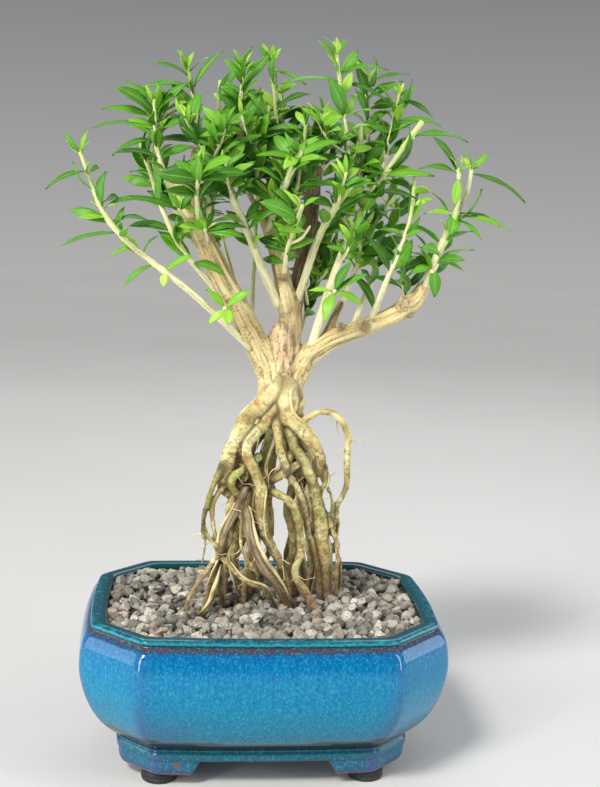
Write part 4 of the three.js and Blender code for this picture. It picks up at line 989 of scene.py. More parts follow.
def bark_and_root():
    look = Look("bark_and_root")
    spot = look.attribute("grain").outputs["Vector"]
    bark, green, dead, painted_shade = look.channels("tint")
    place = look.place()
    fibre = look.drawn_out(spot, 0.9, 0.07, 5.0, 0.7, 0.3)
    fine = look.drawn_out(spot, 2.8, 0.35, 4.0, 0.7)
    rings = look.drawn_out(spot, 0.35, 1.9, 3.0, 0.6)
    patch = look.noise(place, 95.0, 4.0, 0.6)
    stain = look.noise(place, 46.0, 3.0, 0.55, 0.6)
    root = look.ramp(patch, [(0.24, (0.30, 0.20, 0.08)), (0.40, (0.56, 0.44, 0.18)), (0.54, (0.76, 0.68, 0.34)),
                             (0.74, (0.90, 0.84, 0.54))])
    specks = look.noise(place, 620.0, 3.0, 0.6)
    algae = look.times(look.level(stain, 0.38, 0.62), look.plus(green, 0.12))
    root = look.mix(look.times(algae, 0.72), root, (0.22, 0.36, 0.06))
    rust = look.level(look.noise(place, 70.0, 3.0, 0.5, 1.2), 0.58, 0.70)
    root = look.mix(look.times(rust, 0.75), root, (0.46, 0.20, 0.055))
    root = look.over(root, rings, 0.58, 0.72, 0.5, (0.30, 0.20, 0.08))
    grime = look.plus(specks, look.level(stain, 0.35, 0.65, -0.05, 0.05))
    root = look.over(root, grime, 0.57, 0.66, 0.7, (0.17, 0.105, 0.04))
    height_up = look.split(place)[2]
    crust = look.plus(look.noise(place, 300.0, 5.0, 0.75, 0.4), look.level(stain, 0.3, 0.7, -0.06, 0.06))
    crust = look.plus(crust, look.level(height_up, 0.18, 0.09, -0.045, 0.06))
    root = look.over(root, crust, 0.51, 0.58, 0.78, (0.26, 0.165, 0.065))
    muddy = look.plus(look.times(height_up, -1000.0), look.times(patch, 50.0))
    mud = look.mix(look.level(specks, 0.4, 0.6), (0.30, 0.18, 0.11), (0.13, 0.075, 0.045))
    root = look.mix(look.level(muddy, -66, -44, 0, 0.92), root, mud)
    flakes = look.drawn_out(spot, 0.30, 0.11, 5.0, 0.65)
    limb = look.ramp(fibre, [(0.26, (0.26, 0.15, 0.055)), (0.38, (0.58, 0.43, 0.17)), (0.52, (0.82, 0.69, 0.33)),
                             (0.75, (0.92, 0.84, 0.52))])
    trunk = look.ramp(fibre, [(0.28, (0.20, 0.10, 0.045)), (0.40, (0.52, 0.34, 0.17)), (0.54, (0.78, 0.60, 0.36)),
                              (0.75, (0.90, 0.79, 0.56))])
    limb = look.over(limb, flakes, 0.53, 0.60, 0.5, (0.66, 0.43, 0.16))
    limb = look.over(limb, flakes, 0.40, 0.34, 0.6, (0.93, 0.87, 0.60))
    colour = look.mix(bark, root, look.mix(green, limb, trunk))
    old = look.ramp(fibre, [(0.3, (0.050, 0.030, 0.016)), (0.45, (0.18, 0.125, 0.072)), (0.58, (0.37, 0.285, 0.17)),
                            (0.76, (0.62, 0.53, 0.37))])
    colour = look.mix(dead, colour, old)
    colour = look.over(colour, fine, 0.42, 0.28, 0.55, (0.12, 0.065, 0.025))
    # The tint's alpha darkens the wood: painted shade in the crevices and inside the root mass, and the bark's dark
    # cracks.
    colour = look.mix(look.times(painted_shade, 0.88), colour, (0.050, 0.027, 0.011))
    strength = look.plus(look.times(bark, 0.8), 0.25)
    height = look.plus(look.times(fibre, strength), look.times(fine, 0.35))
    height = look.plus(height, look.times(rings, 0.15))
    return look.surface(Base_Color=colour, Roughness=look.level(fine, 0.3, 0.7, 0.62, 0.85),
                        Normal=look.bump(height, 0.9, 0.9), Specular_IOR_Level=0.3)


wood_samples = make_wood()


# The leafy shoots: slim pale stems that rise from the limbs, some cut square, with lance-shaped leaves in
# opposite pairs, each pair turned across the one below, and a tuft of small bright ones at the tip.
STEM_SPACING = 12
BLADE_THICKNESS = 0.7
BLADE_ARCH = 0.09
BLADE_REACH = 0.56
FACE_LIGHT = Vector((0, -0.55, 0.83))
YOUNG_LEAF = 15
PAIR_WIDTH = 0.36
TUFT_WIDTH = 0.4
LEAF_SINK = 1.2
GROWTH_SEED = 41
LISTED_ROLL = (-12, 12)
PAIR_TURN = 90
PAIR_TWIST = (-15, 15)
PAIR_LENGTH = (0.82, 1.18)
PAIR_RISE = (8, 42)
PAIR_ROLL = (-20, 20)
TUFT_LENGTH = (6, 10)
TUFT_TWIST = (0, 50)
TUFT_RISE = (30, 65)
TUFT_ROLL = (-30, 30)
LAST_PAIR = 0.95
LEAF_CLEARANCE = 0.45
CLEARANCE_STEP = 1.5
SMALLEST_FACE = 0.01
GROWN_BLADE = [(0, 0), (0.42, 1), (0.78, 0.78), (1, 0)]
YOUNG_BLADE = [(0, 0), (0.5, 1), (1, 0)]
LEAF_TURNS = [(0, 0), (10, 0), (-10, 0), (0, 12), (0, -12), (20, 0), (-20, 0), (10, 20), (-10, 20), (20, -20),
              (-20, -20), (35, 10), (-35, 10), (50, -10), (-50, -10)]

# Each shoot: name, path of its stem, radii, then pairs of leaves, where they start and their size, the number
# of tuft leaves, and single leaves as (place, heading, rise, length, width). joins and at make it a fork.
SHOOTS = [
    dict(name="shoot_low_left", path=[(-8, -3, 179), (-34, -13, 203), (-68, -19, 231), (-82, -15, 261)],
         radii=[2.3, 1.6, 1], pairs=1, start=0.76, size=9, tuft=2,
         leaves=[(0.93, 180, -25, 19, 4), (0.65, 180, -15, 25, 2.6), (0.72, 190, -5, 12, 4.8),
                 (0.5, 190, -32, 16, 2.8), (0.58, 185, -22, 11, 2.8), (0.46, 0, 30, 14, 4),
                 (0.46, 265, -60, 7, 3.4), (0.67, 40, 60, 10, 2.6), (0.76, 5, 18, 17, 3.2)]),
    dict(name="shoot_left_inner", path=[(-23, -7, 203), (-43, -12, 228), (-58, -4, 267)], radii=[1.7, 1.2],
         pairs=1, start=0.45, size=9),
    dict(name="shoot_left_top", path=[(-42, -11, 240), (-50, -13, 262), (-52, -12, 283)], radii=[1.8, 0.9],
         pairs=2, start=0.55, size=15, tuft=2,
         leaves=[(1, 180, 38, 15, 4.6), (0.78, 182, -3, 26, 2.8), (0.86, 172, 7, 23, 4.4),
                 (0.66, 188, -20, 20, 4), (0.1, 178, 20, 15, 4)]),
    dict(name="shoot_top_left", path=[(-28, -6, 223), (-29, 3, 255), (-38, 2, 297)], radii=[1.9, 0.9],
         pairs=2, start=0.5, size=15, tuft=2,
         leaves=[(0.66, 190, 0, 23, 5.2), (0.7, 175, 30, 19, 4.8), (0.98, 180, 22, 17, 3.4),
                 (0.93, 185, 2, 21, 4.2), (1, 190, 62, 11, 4.4), (0.92, 8, 55, 21, 2.8)]),
    dict(name="shoot_left_cut", joins="shoot_top_left", at=0.1, path=[(-25, 13, 256), (-24, 15, 294)],
         radii=[1.5, 1.2], pairs=1, start=0.6, size=10),
    dict(name="shoot_main", path=[(3, -1, 198), (-10, -12, 226), (-20, -15, 255), (-7, -4, 290)],
         radii=[3, 2, 1.6], pairs=2, start=0.4, size=16,
         leaves=[(0.45, 0, 15, 15, 5), (0.62, 0, 30, 15, 6), (0.66, 200, -5, 16, 5)]),
    dict(name="shoot_main_up", joins="shoot_main", at=0.8, path=[(-16, -10, 285), (-15, -8, 298)],
         radii=[1.4, 0.9], pairs=1, start=0.5, size=11, tuft=2),
    dict(name="shoot_main_left", joins="shoot_main", at=0.64, path=[(-30, -20, 262), (-39, -23, 276)],
         radii=[1.6, 0.9], pairs=2, start=0.35, size=15, tuft=2),
    dict(name="sprig_front_left", path=[(-28, -8, 224), (-30, -22, 231)], radii=[1.2, 0.9], tuft=2,
         leaves=[(1, 165, 30, 11, 7), (1, 0, 8, 17, 5.2), (0.95, 345, -6, 17, 5), (1, 250, 30, 12, 4.5)]),
    dict(name="sprig_limb_top", path=[(-37, -12, 233), (-41, -24, 239)], radii=[1.2, 0.9], tuft=2,
         leaves=[(1, 182, 12, 25, 5.6), (1, 20, 50, 12, 4)]),
    dict(name="sprig_limb_low", path=[(-16, -6, 194), (-21, -16, 198)], radii=[1.2, 0.9],
         leaves=[(1, 165, 40, 12, 5), (1, 355, 42, 14, 5.4), (1, 285, -40, 9, 7.4), (0.95, 195, -42, 10, 3.6)]),
    dict(name="shoot_middle_thin", path=[(-6, -3, 238), (1, 8, 262), (-2, 12, 303)], radii=[1.4, 0.9],
         pairs=2, start=0.5, size=11, tuft=2, leaves=[(0.97, 0, -20, 16, 2.8)]),
    dict(name="shoot_middle_back", path=[(17, 13, 239), (7, 26, 267), (3, 27, 291)], radii=[1.4, 0.9],
         pairs=3, start=0.4, size=13, tuft=2, leaves=[(1, 15, 35, 10, 5)]),
    dict(name="shoot_middle_cut", path=[(-7, -6, 239), (-8, -9, 260), (-4, -6, 283)], radii=[1.4, 1.1],
         pairs=2, start=0.5, size=14),
    dict(name="shoot_centre", path=[(-3, -5, 231), (3, -18, 251), (8, -25, 263)], radii=[2, 1.5], pairs=2,
         start=0.5, size=16, tuft=2,
         leaves=[(1, 225, -30, 10, 6.2), (1, 10, 22, 20, 5.6), (0.95, 0, 3, 13, 5), (0.96, 180, 3, 17, 4.8)]),
    dict(name="shoot_centre_right", path=[(4, -3, 219), (8, -13, 246), (11, -16, 276)], radii=[1.7, 1],
         pairs=2, start=0.5, size=14, tuft=2),
    dict(name="shoot_front", path=[(11, 0, 199), (19, -12, 230), (30, -21, 251)], radii=[2.4, 1.7], pairs=2,
         start=0.6, size=15, leaves=[(1, 182, 0, 21, 4.4), (1, 160, 45, 12, 4.6), (1, 15, 10, 14, 4.4)]),
    dict(name="shoot_front_up", joins="shoot_front", at=0.93, path=[(29, -10, 270), (24, -4, 306)],
         radii=[1.7, 0.9], pairs=2, start=0.35, size=13, tuft=2,
         leaves=[(0.86, 180, -5, 25, 3.6), (0.86, 0, -20, 23, 3), (0.91, 355, 8, 21, 4), (0.97, 178, 42, 12, 3.2),
                 (0.4, 255, -45, 10, 7)]),
    dict(name="shoot_fork", path=[(17, -3, 177), (26, -10, 213), (38, -8, 242), (62, -5, 279)],
         radii=[2.8, 2.1, 1.6], pairs=2, start=0.66, size=16,
         leaves=[(0.95, 0, 2, 25, 5.6), (0.8, 350, 2, 22, 4.8), (0.74, 345, -8, 19, 4.2), (0.74, 262, -20, 9, 7),
                 (0.78, 165, 55, 12, 4.6)]),
    dict(name="shoot_fork_fibrous", joins="shoot_fork", at=0.66, path=[(36, -3, 259), (36, 0, 276)],
         radii=[2.1, 1.8], pairs=1, start=0.5, size=15),
    dict(name="shoot_fork_up", joins="shoot_fork", at=0.76, path=[(50, 4, 273), (54, 9, 291)],
         radii=[1.6, 0.9], pairs=1, start=0.5, size=12, tuft=2,
         leaves=[(0.97, 0, -22, 17, 3.6), (0.7, 5, 0, 22, 3), (1, 350, 25, 9, 3)]),
    dict(name="shoot_fork_back", joins="shoot_fork", at=0.7, path=[(41, 11, 278), (40, 18, 298)],
         radii=[1.5, 0.9], pairs=2, start=0.5, size=13, tuft=2,
         leaves=[(0.95, 0, 17, 20, 3), (0.98, 160, 55, 11, 4)]),
    dict(name="sprig_fork", joins="shoot_fork", at=0.26, path=[(25, -16, 204), (25, -22, 207)],
         radii=[1.3, 0.9],
         leaves=[(1, 235, -50, 15, 6.6), (1, 335, -18, 13, 6), (1, 182, 2, 11, 4.2), (1, 350, 30, 16, 4.8),
                 (0.95, 330, 62, 16, 4.6)]),
    dict(name="shoot_right_slim", path=[(43, -6, 192), (48, -15, 211), (57, -13, 236), (59, -10, 256)],
         radii=[1.9, 0.9], pairs=1, start=0.6, size=8,
         leaves=[(0.1, 325, -14, 18, 6.8), (0.1, 230, -45, 15, 5), (0.12, 150, 60, 19, 5)]),
    dict(name="shoot_right_green", path=[(31, 1, 198), (42, 8, 226), (55, 10, 251)], radii=[1.7, 1],
         pairs=3, start=0.35, size=13, tuft=2, leaves=[(0.4, 0, 12, 13, 5.4)]),
    dict(name="shoot_right_low", path=[(58, -6, 200), (57, -2, 219)], radii=[1.4, 1], pairs=1, start=0.5,
         size=12, tuft=2),
    dict(name="shoot_far", path=[(65, -8, 204), (70, -12, 222), (78, -13, 242)], radii=[2.5, 1.9], pairs=1,
         start=0.45, size=13,
         leaves=[(0.4, 280, -76, 13, 5.4), (0.42, 190, -20, 12, 4.2), (0.48, 350, -15, 13, 3),
                 (1, 0, -12, 20, 3.8), (0.97, 345, -14, 24, 3.6), (0.94, 340, -32, 15, 3.4),
                 (0.98, 180, 3, 14, 4.2), (0.97, 235, -50, 10, 6)]),
    dict(name="shoot_far_right", joins="shoot_far", at=0.97, path=[(82, -11, 250), (84, -8, 260)],
         radii=[1.5, 1], tuft=2, leaves=[(0.95, 355, -24, 27, 4.4), (1, 15, 45, 11, 4.2)]),
    dict(name="shoot_far_left", joins="shoot_far", at=0.97, path=[(77, -16, 250), (76, -18, 259)],
         radii=[1.5, 1], tuft=2,
         leaves=[(1, 170, 52, 19, 4.8), (0.98, 182, 10, 17, 4.8), (0.9, 255, -76, 13, 4)]),
    dict(name="shoot_left_cross", path=[(-8, -2, 181), (-8, 4, 202), (-7, 10, 232)], radii=[1.6, 1], tuft=2),
    dict(name="shoot_left_thin", path=[(-14, -4, 201), (-22, 4, 227)], radii=[1.2, 0.8], tuft=2),
    dict(name="shoot_back_low", path=[(11, 1, 176), (19, 14, 204), (22, 17, 224)], radii=[1.4, 0.9], pairs=2,
         start=0.5, size=11, tuft=2),
    dict(name="shoot_front_low_left", path=[(-31, -10, 228), (-34, -26, 245), (-32, -36, 258)],
         radii=[1.6, 1], pairs=2, start=0.5, size=15, tuft=2),
    dict(name="shoot_front_low_middle", path=[(5, -1, 209), (5, -18, 224), (9, -33, 242)], radii=[1.6, 1],
         pairs=2, start=0.5, size=15, tuft=2),
] + [
    dict(name=f"shoot_back_{name}", path=path, radii=[1.9, 1], pairs=pairs, start=0.45, size=size, tuft=2)
    for name, pairs, size, path in [
        ("right", 3, 14, [(17, 13, 240), (24, 32, 258), (24, 45, 282)]),
        ("middle", 3, 14, [(-4, -3, 232), (-13, 20, 254), (-13, 36, 272)]),
        ("left", 3, 14, [(-29, -8, 224), (-44, 16, 240), (-54, 28, 258)]),
        ("low_right", 3, 14, [(36, -5, 191), (50, 22, 218), (58, 34, 242)]),
        ("low_left", 2, 13, [(-19, -6, 203), (-27, 22, 226), (-30, 37, 245)]),
        ("centre", 2, 13, [(14, 9, 214), (4, 36, 233), (2, 48, 254)])]
]


def stem_place(path, share):
    """The place and direction at a share of the way along a stem, on the straight runs between its rings."""
    line = centre_line(path, STEM_SPACING)
    place = share * (len(line) - 1)
    before = min(int(place), len(line) - 2)
    start, end = line[before][0], line[before + 1][0]
    return start.lerp(end, place - before), (end - start).normalized()


def blade_frame(leaf):
    turn, lift = math.radians(leaf["heading"]), math.radians(leaf["rise"])
    along = Vector((math.cos(turn) * math.cos(lift), math.sin(turn) * math.cos(lift), math.sin(lift)))
    light = leaf.get("light", FACE_LIGHT)
    normal = (light - along * light.dot(along)).normalized()
    normal = Matrix.Rotation(math.radians(leaf["roll"]), 3, along) @ normal
    return along, normal, along.cross(normal)


def blade_point(leaf, axes, share, across):
    along, normal, side = axes
    arch = BLADE_ARCH * leaf["length"] * 4 * share * (1 - share)
    return leaf["foot"] + along * (share * leaf["length"]) + normal * arch + side * across


def blade_skeleton(leaf):
    """A blade's middle face as triangles, and points along its edges and middle, for testing clearance."""
    axes = blade_frame(leaf)
    stations = YOUNG_BLADE if leaf["length"] < YOUNG_LEAF else GROWN_BLADE
    rungs = [[blade_point(leaf, axes, share, side * width * leaf["width"]) for side in (-0.5, 0.5)]
             for share, width in stations]
    triangles, points = [], []
    for (left, right), (next_left, next_right) in zip(rungs, rungs[1:]):
        triangles += [(left, right, next_left), (right, next_right, next_left)]
        for part in (0.25, 0.5, 0.75, 1):
            a, b = left.lerp(next_left, part), right.lerp(next_right, part)
            points += [a, b, a.lerp(b, 0.5)]
    triangles = [t for t in triangles if (t[1] - t[0]).cross(t[2] - t[0]).length / 2 > SMALLEST_FACE]
    middle = blade_point(leaf, axes, 0.5, 0)
    return triangles, points, middle, leaf["length"] * BLADE_REACH


def from_blade(point, triangles):
    return min((closest_point_on_tri(point, *triangle) - point).length for triangle in triangles)


def stem_samples(path, radii, spacing):
    line = centre_line(path, spacing)
    samples = []
    for (start, _, low), (end, _, high) in zip(line, line[1:]):
        count = math.ceil((end - start).length / CLEARANCE_STEP)
        for i in range(count + 1):
            share = low + (high - low) * i / count
            samples.append((start.lerp(end, i / count), radius_at(radii, share)))
    return samples


class Crown:
    """The stems and blades grown so far, and the test of whether a new blade stays clear of them."""

    def __init__(self, stems):
        self.samples = [(point, radius, node) for node, samples in stems for point, radius in samples]
        self.tree = tree_of([point for point, _, _ in self.samples])
        self.widest = max(radius for _, radius, _ in self.samples) + BLADE_THICKNESS + LEAF_CLEARANCE
        self.blades = []
        self.clearing = None

    def is_clear(self, blade, node, clearance):
        triangles, points, middle, reach = blade
        if self.clearing and all(low < c < high for c, (low, high) in zip(middle, self.clearing)):
            return False
        for point, k, distance in self.tree.find_range(middle, reach + self.widest):
            _, radius, owner = self.samples[k]
            margin = radius + BLADE_THICKNESS / 2 + clearance
            if owner != node and distance < reach + margin and from_blade(point, triangles) < margin:
                return False
        margin = BLADE_THICKNESS + clearance
        for owner, (others, their_points, their_middle, their_reach) in self.blades:
            if owner == node or (their_middle - middle).length > their_reach + reach + margin:
                continue
            if any(from_blade(point, triangles) <= margin for point in their_points):
                return False
            if any(from_blade(point, others) <= margin for point in points):
                return False
        return True

    def place(self, wish, node, clearance, foot):
        """Turns a wished leaf until it is clear, keeps it and gives it back, or gives None."""
        for turn, lift in LEAF_TURNS:
            leaf = dict(wish, foot=foot, heading=wish["heading"] + turn, rise=wish["rise"] + lift)
            blade = blade_skeleton(leaf)
            if self.is_clear(blade, node, clearance):
                self.blades.append((node, blade))
                return leaf
        return None


def seeded_draws(seed):
    """The same run of draws from 0 to 1 each time for one seed."""
    state = seed
    while True:
        state = (state + 0x6D2B79F5) & 0xFFFFFFFF
        mixed = ((state ^ (state >> 15)) * (1 | state)) & 0xFFFFFFFF
        mixed = ((mixed + (mixed ^ (mixed >> 7)) * (61 | mixed)) ^ mixed) & 0xFFFFFFFF
        yield (mixed ^ (mixed >> 14)) / 4294967296


def between(draws, limits):
    return limits[0] + (limits[1] - limits[0]) * next(draws)


def leaves_wanted(shoot, draws):
    """Every leaf that a shoot asks for, before any is turned clear of its neighbours."""
    wanted = [dict(place=place, heading=heading, rise=rise, length=length, width=width,
                   roll=between(draws, LISTED_ROLL)) for place, heading, rise, length, width in
              shoot.get("leaves", [])]
    first_turn = 180 * next(draws)
    pairs, start, tuft = shoot.get("pairs", 0), shoot.get("start", 0), shoot.get("tuft", 0)
    for pair in range(pairs):
        place = start + (LAST_PAIR - start) * pair / pairs
        turn = first_turn + PAIR_TURN * pair + between(draws, PAIR_TWIST)
        for heading in (turn, turn + 180):
            length = shoot["size"] * between(draws, PAIR_LENGTH)
            rise, roll = between(draws, PAIR_RISE), between(draws, PAIR_ROLL)
            wanted.append(dict(place=place, heading=heading, rise=rise, length=length,
                               width=PAIR_WIDTH * length, roll=roll))
    for young in range(tuft):
        length = between(draws, TUFT_LENGTH)
        heading = first_turn + 360 * young / tuft + between(draws, TUFT_TWIST)
        rise, roll = between(draws, TUFT_RISE), between(draws, TUFT_ROLL)
        wanted.append(dict(place=1, heading=heading, rise=rise, length=length, width=TUFT_WIDTH * length,
                           roll=roll))
    return wanted


# The crown's inner growth: thin side twigs, smaller pairs between the leaves that set the outline, and more
# leaves at the tips. Their faces turn outwards and up, to the light.
INNER_SEED = 7
INNER_PAIRS = 6
INNER_SIZE = (10, 20)
INNER_RISE = (5, 68)
INNER_CLEARANCE = -0.3
TIP_LEAVES = 2
TIP_LENGTH = (7, 12)
CLEARING = ((7, 25), (-60, 6), (196, 250))
CROWN_AXIS = (4, 26)
OUT_SHARE = 0.75
UP_TO_LIGHT = Vector((0, 0, 0.62))
LEAFY_PART = (0.2, 0.95)
INNER_BELOW = 0.25
INNER_TWIST = (-25, 25)
INNER_WIDTH = (0.25, 0.37)
INNER_ROLL = (-40, 40)
ON_TWIG = 0.8
TIP_TWIST = (0, 90)
TIP_RISE = (35, 72)
TIP_WIDTH = 0.26
TIP_ROLL = (-50, 50)
TWIG_LIFT = (0.4, 1.1)
TWIG_BEND = Vector((0, 0, 0.7))
TWIG_CLEARANCE = 1.2
TWIG_RADII = [0.95, 0.6]
TWIG_PLACES = (0.38, 0.56, 0.74)
TWIG_LENGTH = (13, 22)
TWIG_REACH = ((-58, 62), (-30, 40), (205, 284))


def inner_leaves(shoot, draws):
    wanted = []
    tip = Vector(shoot["path"][-1])
    out = Vector((tip.x - CROWN_AXIS[0], tip.y - CROWN_AXIS[1], 0)).normalized()
    light = (out * OUT_SHARE + UP_TO_LIGHT).normalized()
    first, last = LEAFY_PART
    if not shoot.get("twig"):
        first = max(INNER_BELOW, shoot.get("start", 0.5) - INNER_BELOW)
    turn = 180 * next(draws)
    for pair in range(INNER_PAIRS if shoot.get("pairs", 0) else 0):
        place = first + (last - first) * (pair + 0.5) / INNER_PAIRS
        for heading in (turn + 90 * pair, turn + 90 * pair + 180):
            length = between(draws, INNER_SIZE) * (ON_TWIG if shoot.get("twig") else 1)
            wanted.append(dict(place=place, heading=heading + between(draws, INNER_TWIST), light=light,
                               rise=between(draws, INNER_RISE), length=length,
                               width=length * between(draws, INNER_WIDTH), roll=between(draws, INNER_ROLL)))
    for young in range(TIP_LEAVES if shoot.get("tuft", 0) else 0):
        length = between(draws, TIP_LENGTH)
        wanted.append(dict(place=1, heading=180 * young + between(draws, TIP_TWIST), light=light,
                           rise=between(draws, TIP_RISE), length=length, width=TIP_WIDTH * length,
                           roll=between(draws, TIP_ROLL)))
    return wanted


def twigs_on(shoots, crown, draws):
    """Thin side twigs that leave the shoots inside the crown, where no leaf is in their way."""
    twigs = []
    for shoot in shoots:
        for place in TWIG_PLACES:
            start, _ = stem_place(shoot["path"], place)
            turn, length = 2 * math.pi * next(draws), between(draws, TWIG_LENGTH)
            out = Vector((math.cos(turn), math.sin(turn), between(draws, TWIG_LIFT))).normalized()
            middle = start + out * length * 0.5
            end = middle + (out + TWIG_BEND).normalized() * length * 0.5
            inside = all(low < c < high for c, (low, high) in zip(end, TWIG_REACH))
            if not inside or shoot.get("pairs", 0) < 2:
                continue
            path = [tuple(start), tuple(middle), tuple(end)]
            near = [blade for _, blade in crown.blades if (blade[2] - middle).length < blade[3] + length]
            if all(from_blade(point, blade[0]) > TWIG_CLEARANCE for point, _ in stem_samples(path, [1, 0.6], 5)[3:]
                   for blade in near):
                twigs.append(dict(name="twig", node=shoot["node"], path=path, radii=TWIG_RADII, grown=[],
                                  pairs=2, start=0.3, size=11, tuft=2, twig=True))
    return twigs


def grow_crown():
    """Each shoot with its full path and its leaves, in the order in which they grow."""
    shoots = []
    for shoot in SHOOTS:
        node = shoot.get("joins", shoot["name"])
        path = shoot["path"]
        if "joins" in shoot:
            parent = next(s for s in SHOOTS if s["name"] == shoot["joins"])
            path = [tuple(stem_place(parent["path"], shoot["at"])[0]), *path]
        shoots.append(dict(shoot, path=path, node=node, grown=[]))
    wood = [("tree_wood", stem_samples(into_soil(path), radii, WOOD_SPACING)) for path, radii, _ in LIMBS + ROOTS]
    stems = [(s["node"], stem_samples(s["path"], s["radii"], STEM_SPACING)) for s in shoots]
    crown = Crown(stems + wood)
    grow_leaves(crown, shoots, leaves_wanted, GROWTH_SEED, LEAF_CLEARANCE)
    twigs = twigs_on(shoots, crown, seeded_draws(INNER_SEED))
    stems += [(s["node"], stem_samples(s["path"], s["radii"], STEM_SPACING)) for s in twigs]
    inner = Crown(stems + wood)
    inner.blades = crown.blades
    inner.clearing = CLEARING
    grow_leaves(inner, shoots + twigs, inner_leaves, INNER_SEED, INNER_CLEARANCE)
    return shoots + twigs


def grow_leaves(crown, shoots, wishes, seed, clearance):
    draws = seeded_draws(seed)
    for shoot in shoots:
        for wish in wishes(shoot, draws):
            point, along = stem_place(shoot["path"], wish["place"])
            leaf = crown.place(wish, shoot["node"], clearance, point - along * LEAF_SINK)
            if leaf:
                shoot["grown"].append(leaf)


LEAF_ACROSS = 4
LEAF_ALONG = 7
VISIBLE_THICKNESS = 0.26
VISIBLE_WIDTH = 1.02
YOUNG_WIDTH = 0.8
PETIOLE_WIDTH = 0.16
LEAF_FOLD = (0.08, 0.22)
LEAF_CURL = (-0.10, 0.03)
LEAF_SWAY = (-0.06, 0.06)
EDGE_WAVE = 0.05
WAVES = 9


def blade_width(share):
    """How wide a leaf is along its length, as a share of its full width."""
    run = max(0, (share - 0.05) / 0.95)
    return max(PETIOLE_WIDTH * (1 - share), math.sin(math.pi * run ** 0.92) ** 0.9)


def add_leaf(bm, leaf, chance):
    """One blade: arched along its midrib, folded a little along it, its tip and edges bent by chance."""
    blade = bmesh.new()
    uv, tone = blade.loops.layers.uv.new("blade"), blade.verts.layers.float_color.new("tone")
    axes = blade_frame(leaf)
    fold, curl, sway = (chance.uniform(*limits) for limits in (LEAF_FOLD, LEAF_CURL, LEAF_SWAY))
    wave, shade = chance.uniform(0, 6.3), chance.random()
    age = clamp((leaf["length"] - 6) / 12) * min(1, 1.25 - 0.45 * leaf["place"])
    bmesh.ops.create_grid(blade, x_segments=LEAF_ACROSS, y_segments=LEAF_ALONG, size=1)
    for face in blade.faces:
        for loop in face.loops:
            loop[uv].uv = ((loop.vert.co.x + 1) / 2, (loop.vert.co.y + 1) / 2)
    for vert in blade.verts:
        across, share = vert.co.x, (vert.co.y + 1) / 2
        width = blade_width(share) * leaf["width"] * (YOUNG_WIDTH if leaf["place"] == 1 else VISIBLE_WIDTH)
        lift = fold * abs(across) * width / 2 + curl * leaf["length"] * share ** 3
        lift += EDGE_WAVE * leaf["width"] * math.sin(WAVES * share + wave) * across
        point = blade_point(leaf, axes, share, across * width / 2)
        point += axes[1] * lift + axes[2] * sway * leaf["length"] * math.sin(math.pi * share / 2) ** 2
        vert.co = point
        vert[tone] = (age, shade, 0, 1)
    blade.normal_update()
    bmesh.ops.solidify(blade, geom=list(blade.faces), thickness=VISIBLE_THICKNESS)
    bmesh.ops.recalc_face_normals(blade, faces=blade.faces)
    if blade.calc_volume(signed=True) < 0:
        bmesh.ops.reverse_faces(blade, faces=blade.faces)
    take_in(bm, blade)


STEM_SLIM = 0.74
STEM_KNOTS = 0.09
STEM_SIDES = 8
STEM_STEP = 2.2
NODE_SWELL = 0.28
LEAF_SEED = 100


def stem_swell(shoot, number):
    """A stem is slimmer than its solid and thickens a little where a pair of leaves sits."""
    length = sum((Vector(b) - Vector(a)).length for a, b in zip(shoot["path"], shoot["path"][1:]))
    knobs = [leaf["place"] * length for leaf in shoot["grown"]]
    rough = knots(number + 50, STEM_KNOTS)

    def swell(run):
        near = min([abs(run - knob) for knob in knobs], default=9)
        return STEM_SLIM * rough(run) * (1 + NODE_SWELL * math.exp(-near * near / 1.6))
    return swell


def make_shoots():
    blade, bark = fresh_leaf(), green_stem()
    nodes = {}
    for shoot in grow_crown():
        nodes.setdefault(shoot["node"], []).append(shoot)
    for number, (node, members) in enumerate(nodes.items()):
        chance = random.Random(LEAF_SEED + number)
        bm = bmesh.new()
        for shoot in members:
            centres = ring_centres(shoot["path"], STEM_SPACING)
            rings = fine_rings(centres, shoot["radii"], STEM_STEP, stem_swell(shoot, number))

            def mark_stem(tube, length=max(rings[-1][4], 30)):
                spot = tube.verts.layers.float_vector.new("grain")
                age = tube.verts.layers.float.new("age")

                def mark(vert, x, y, run):
                    vert[spot] = (x, y, run + 31 * number)
                    vert[age] = clamp(1.15 - 1.1 * run / length)
                return mark

            add_tube(bm, rings, STEM_SIDES, (0, 1 if shoot.get("tuft") else 0.2), mark_stem)
        stand_for(finish_mesh(bm, node + "_stem", bark), "shoot", node)
        bm = bmesh.new()
        for shoot in members:
            for leaf in shoot["grown"]:
                add_leaf(bm, leaf, chance)
        if bm.faces:
            stand_for(finish_mesh(bm, node + "_leaves", blade), "shoot", node)
        else:
            bm.free()


def green_stem():
    look = Look("green_stem")
    spot = look.attribute("grain").outputs["Vector"]
    age = look.attribute("age").outputs["Fac"]
    fibre = look.drawn_out(spot, 1.5, 0.12, 4.0, 0.65)
    scars = look.drawn_out(spot, 0.5, 1.4, 3.0, 0.6)
    young = look.ramp(fibre, [(0.3, (0.40, 0.50, 0.12)), (0.6, (0.62, 0.69, 0.28)), (0.8, (0.76, 0.80, 0.42))])
    old = look.ramp(fibre, [(0.28, (0.38, 0.30, 0.13)), (0.44, (0.70, 0.66, 0.36)), (0.7, (0.88, 0.87, 0.62))])
    colour = look.mix(look.level(age, 0.15, 0.7), young, old)
    colour = look.over(colour, scars, 0.62, 0.75, 0.45, (0.34, 0.22, 0.10))
    return look.surface(Base_Color=colour, Roughness=look.level(fibre, 0.3, 0.7, 0.5, 0.7),
                        Normal=look.bump(fibre, 0.35, 0.6), Specular_IOR_Level=0.35)


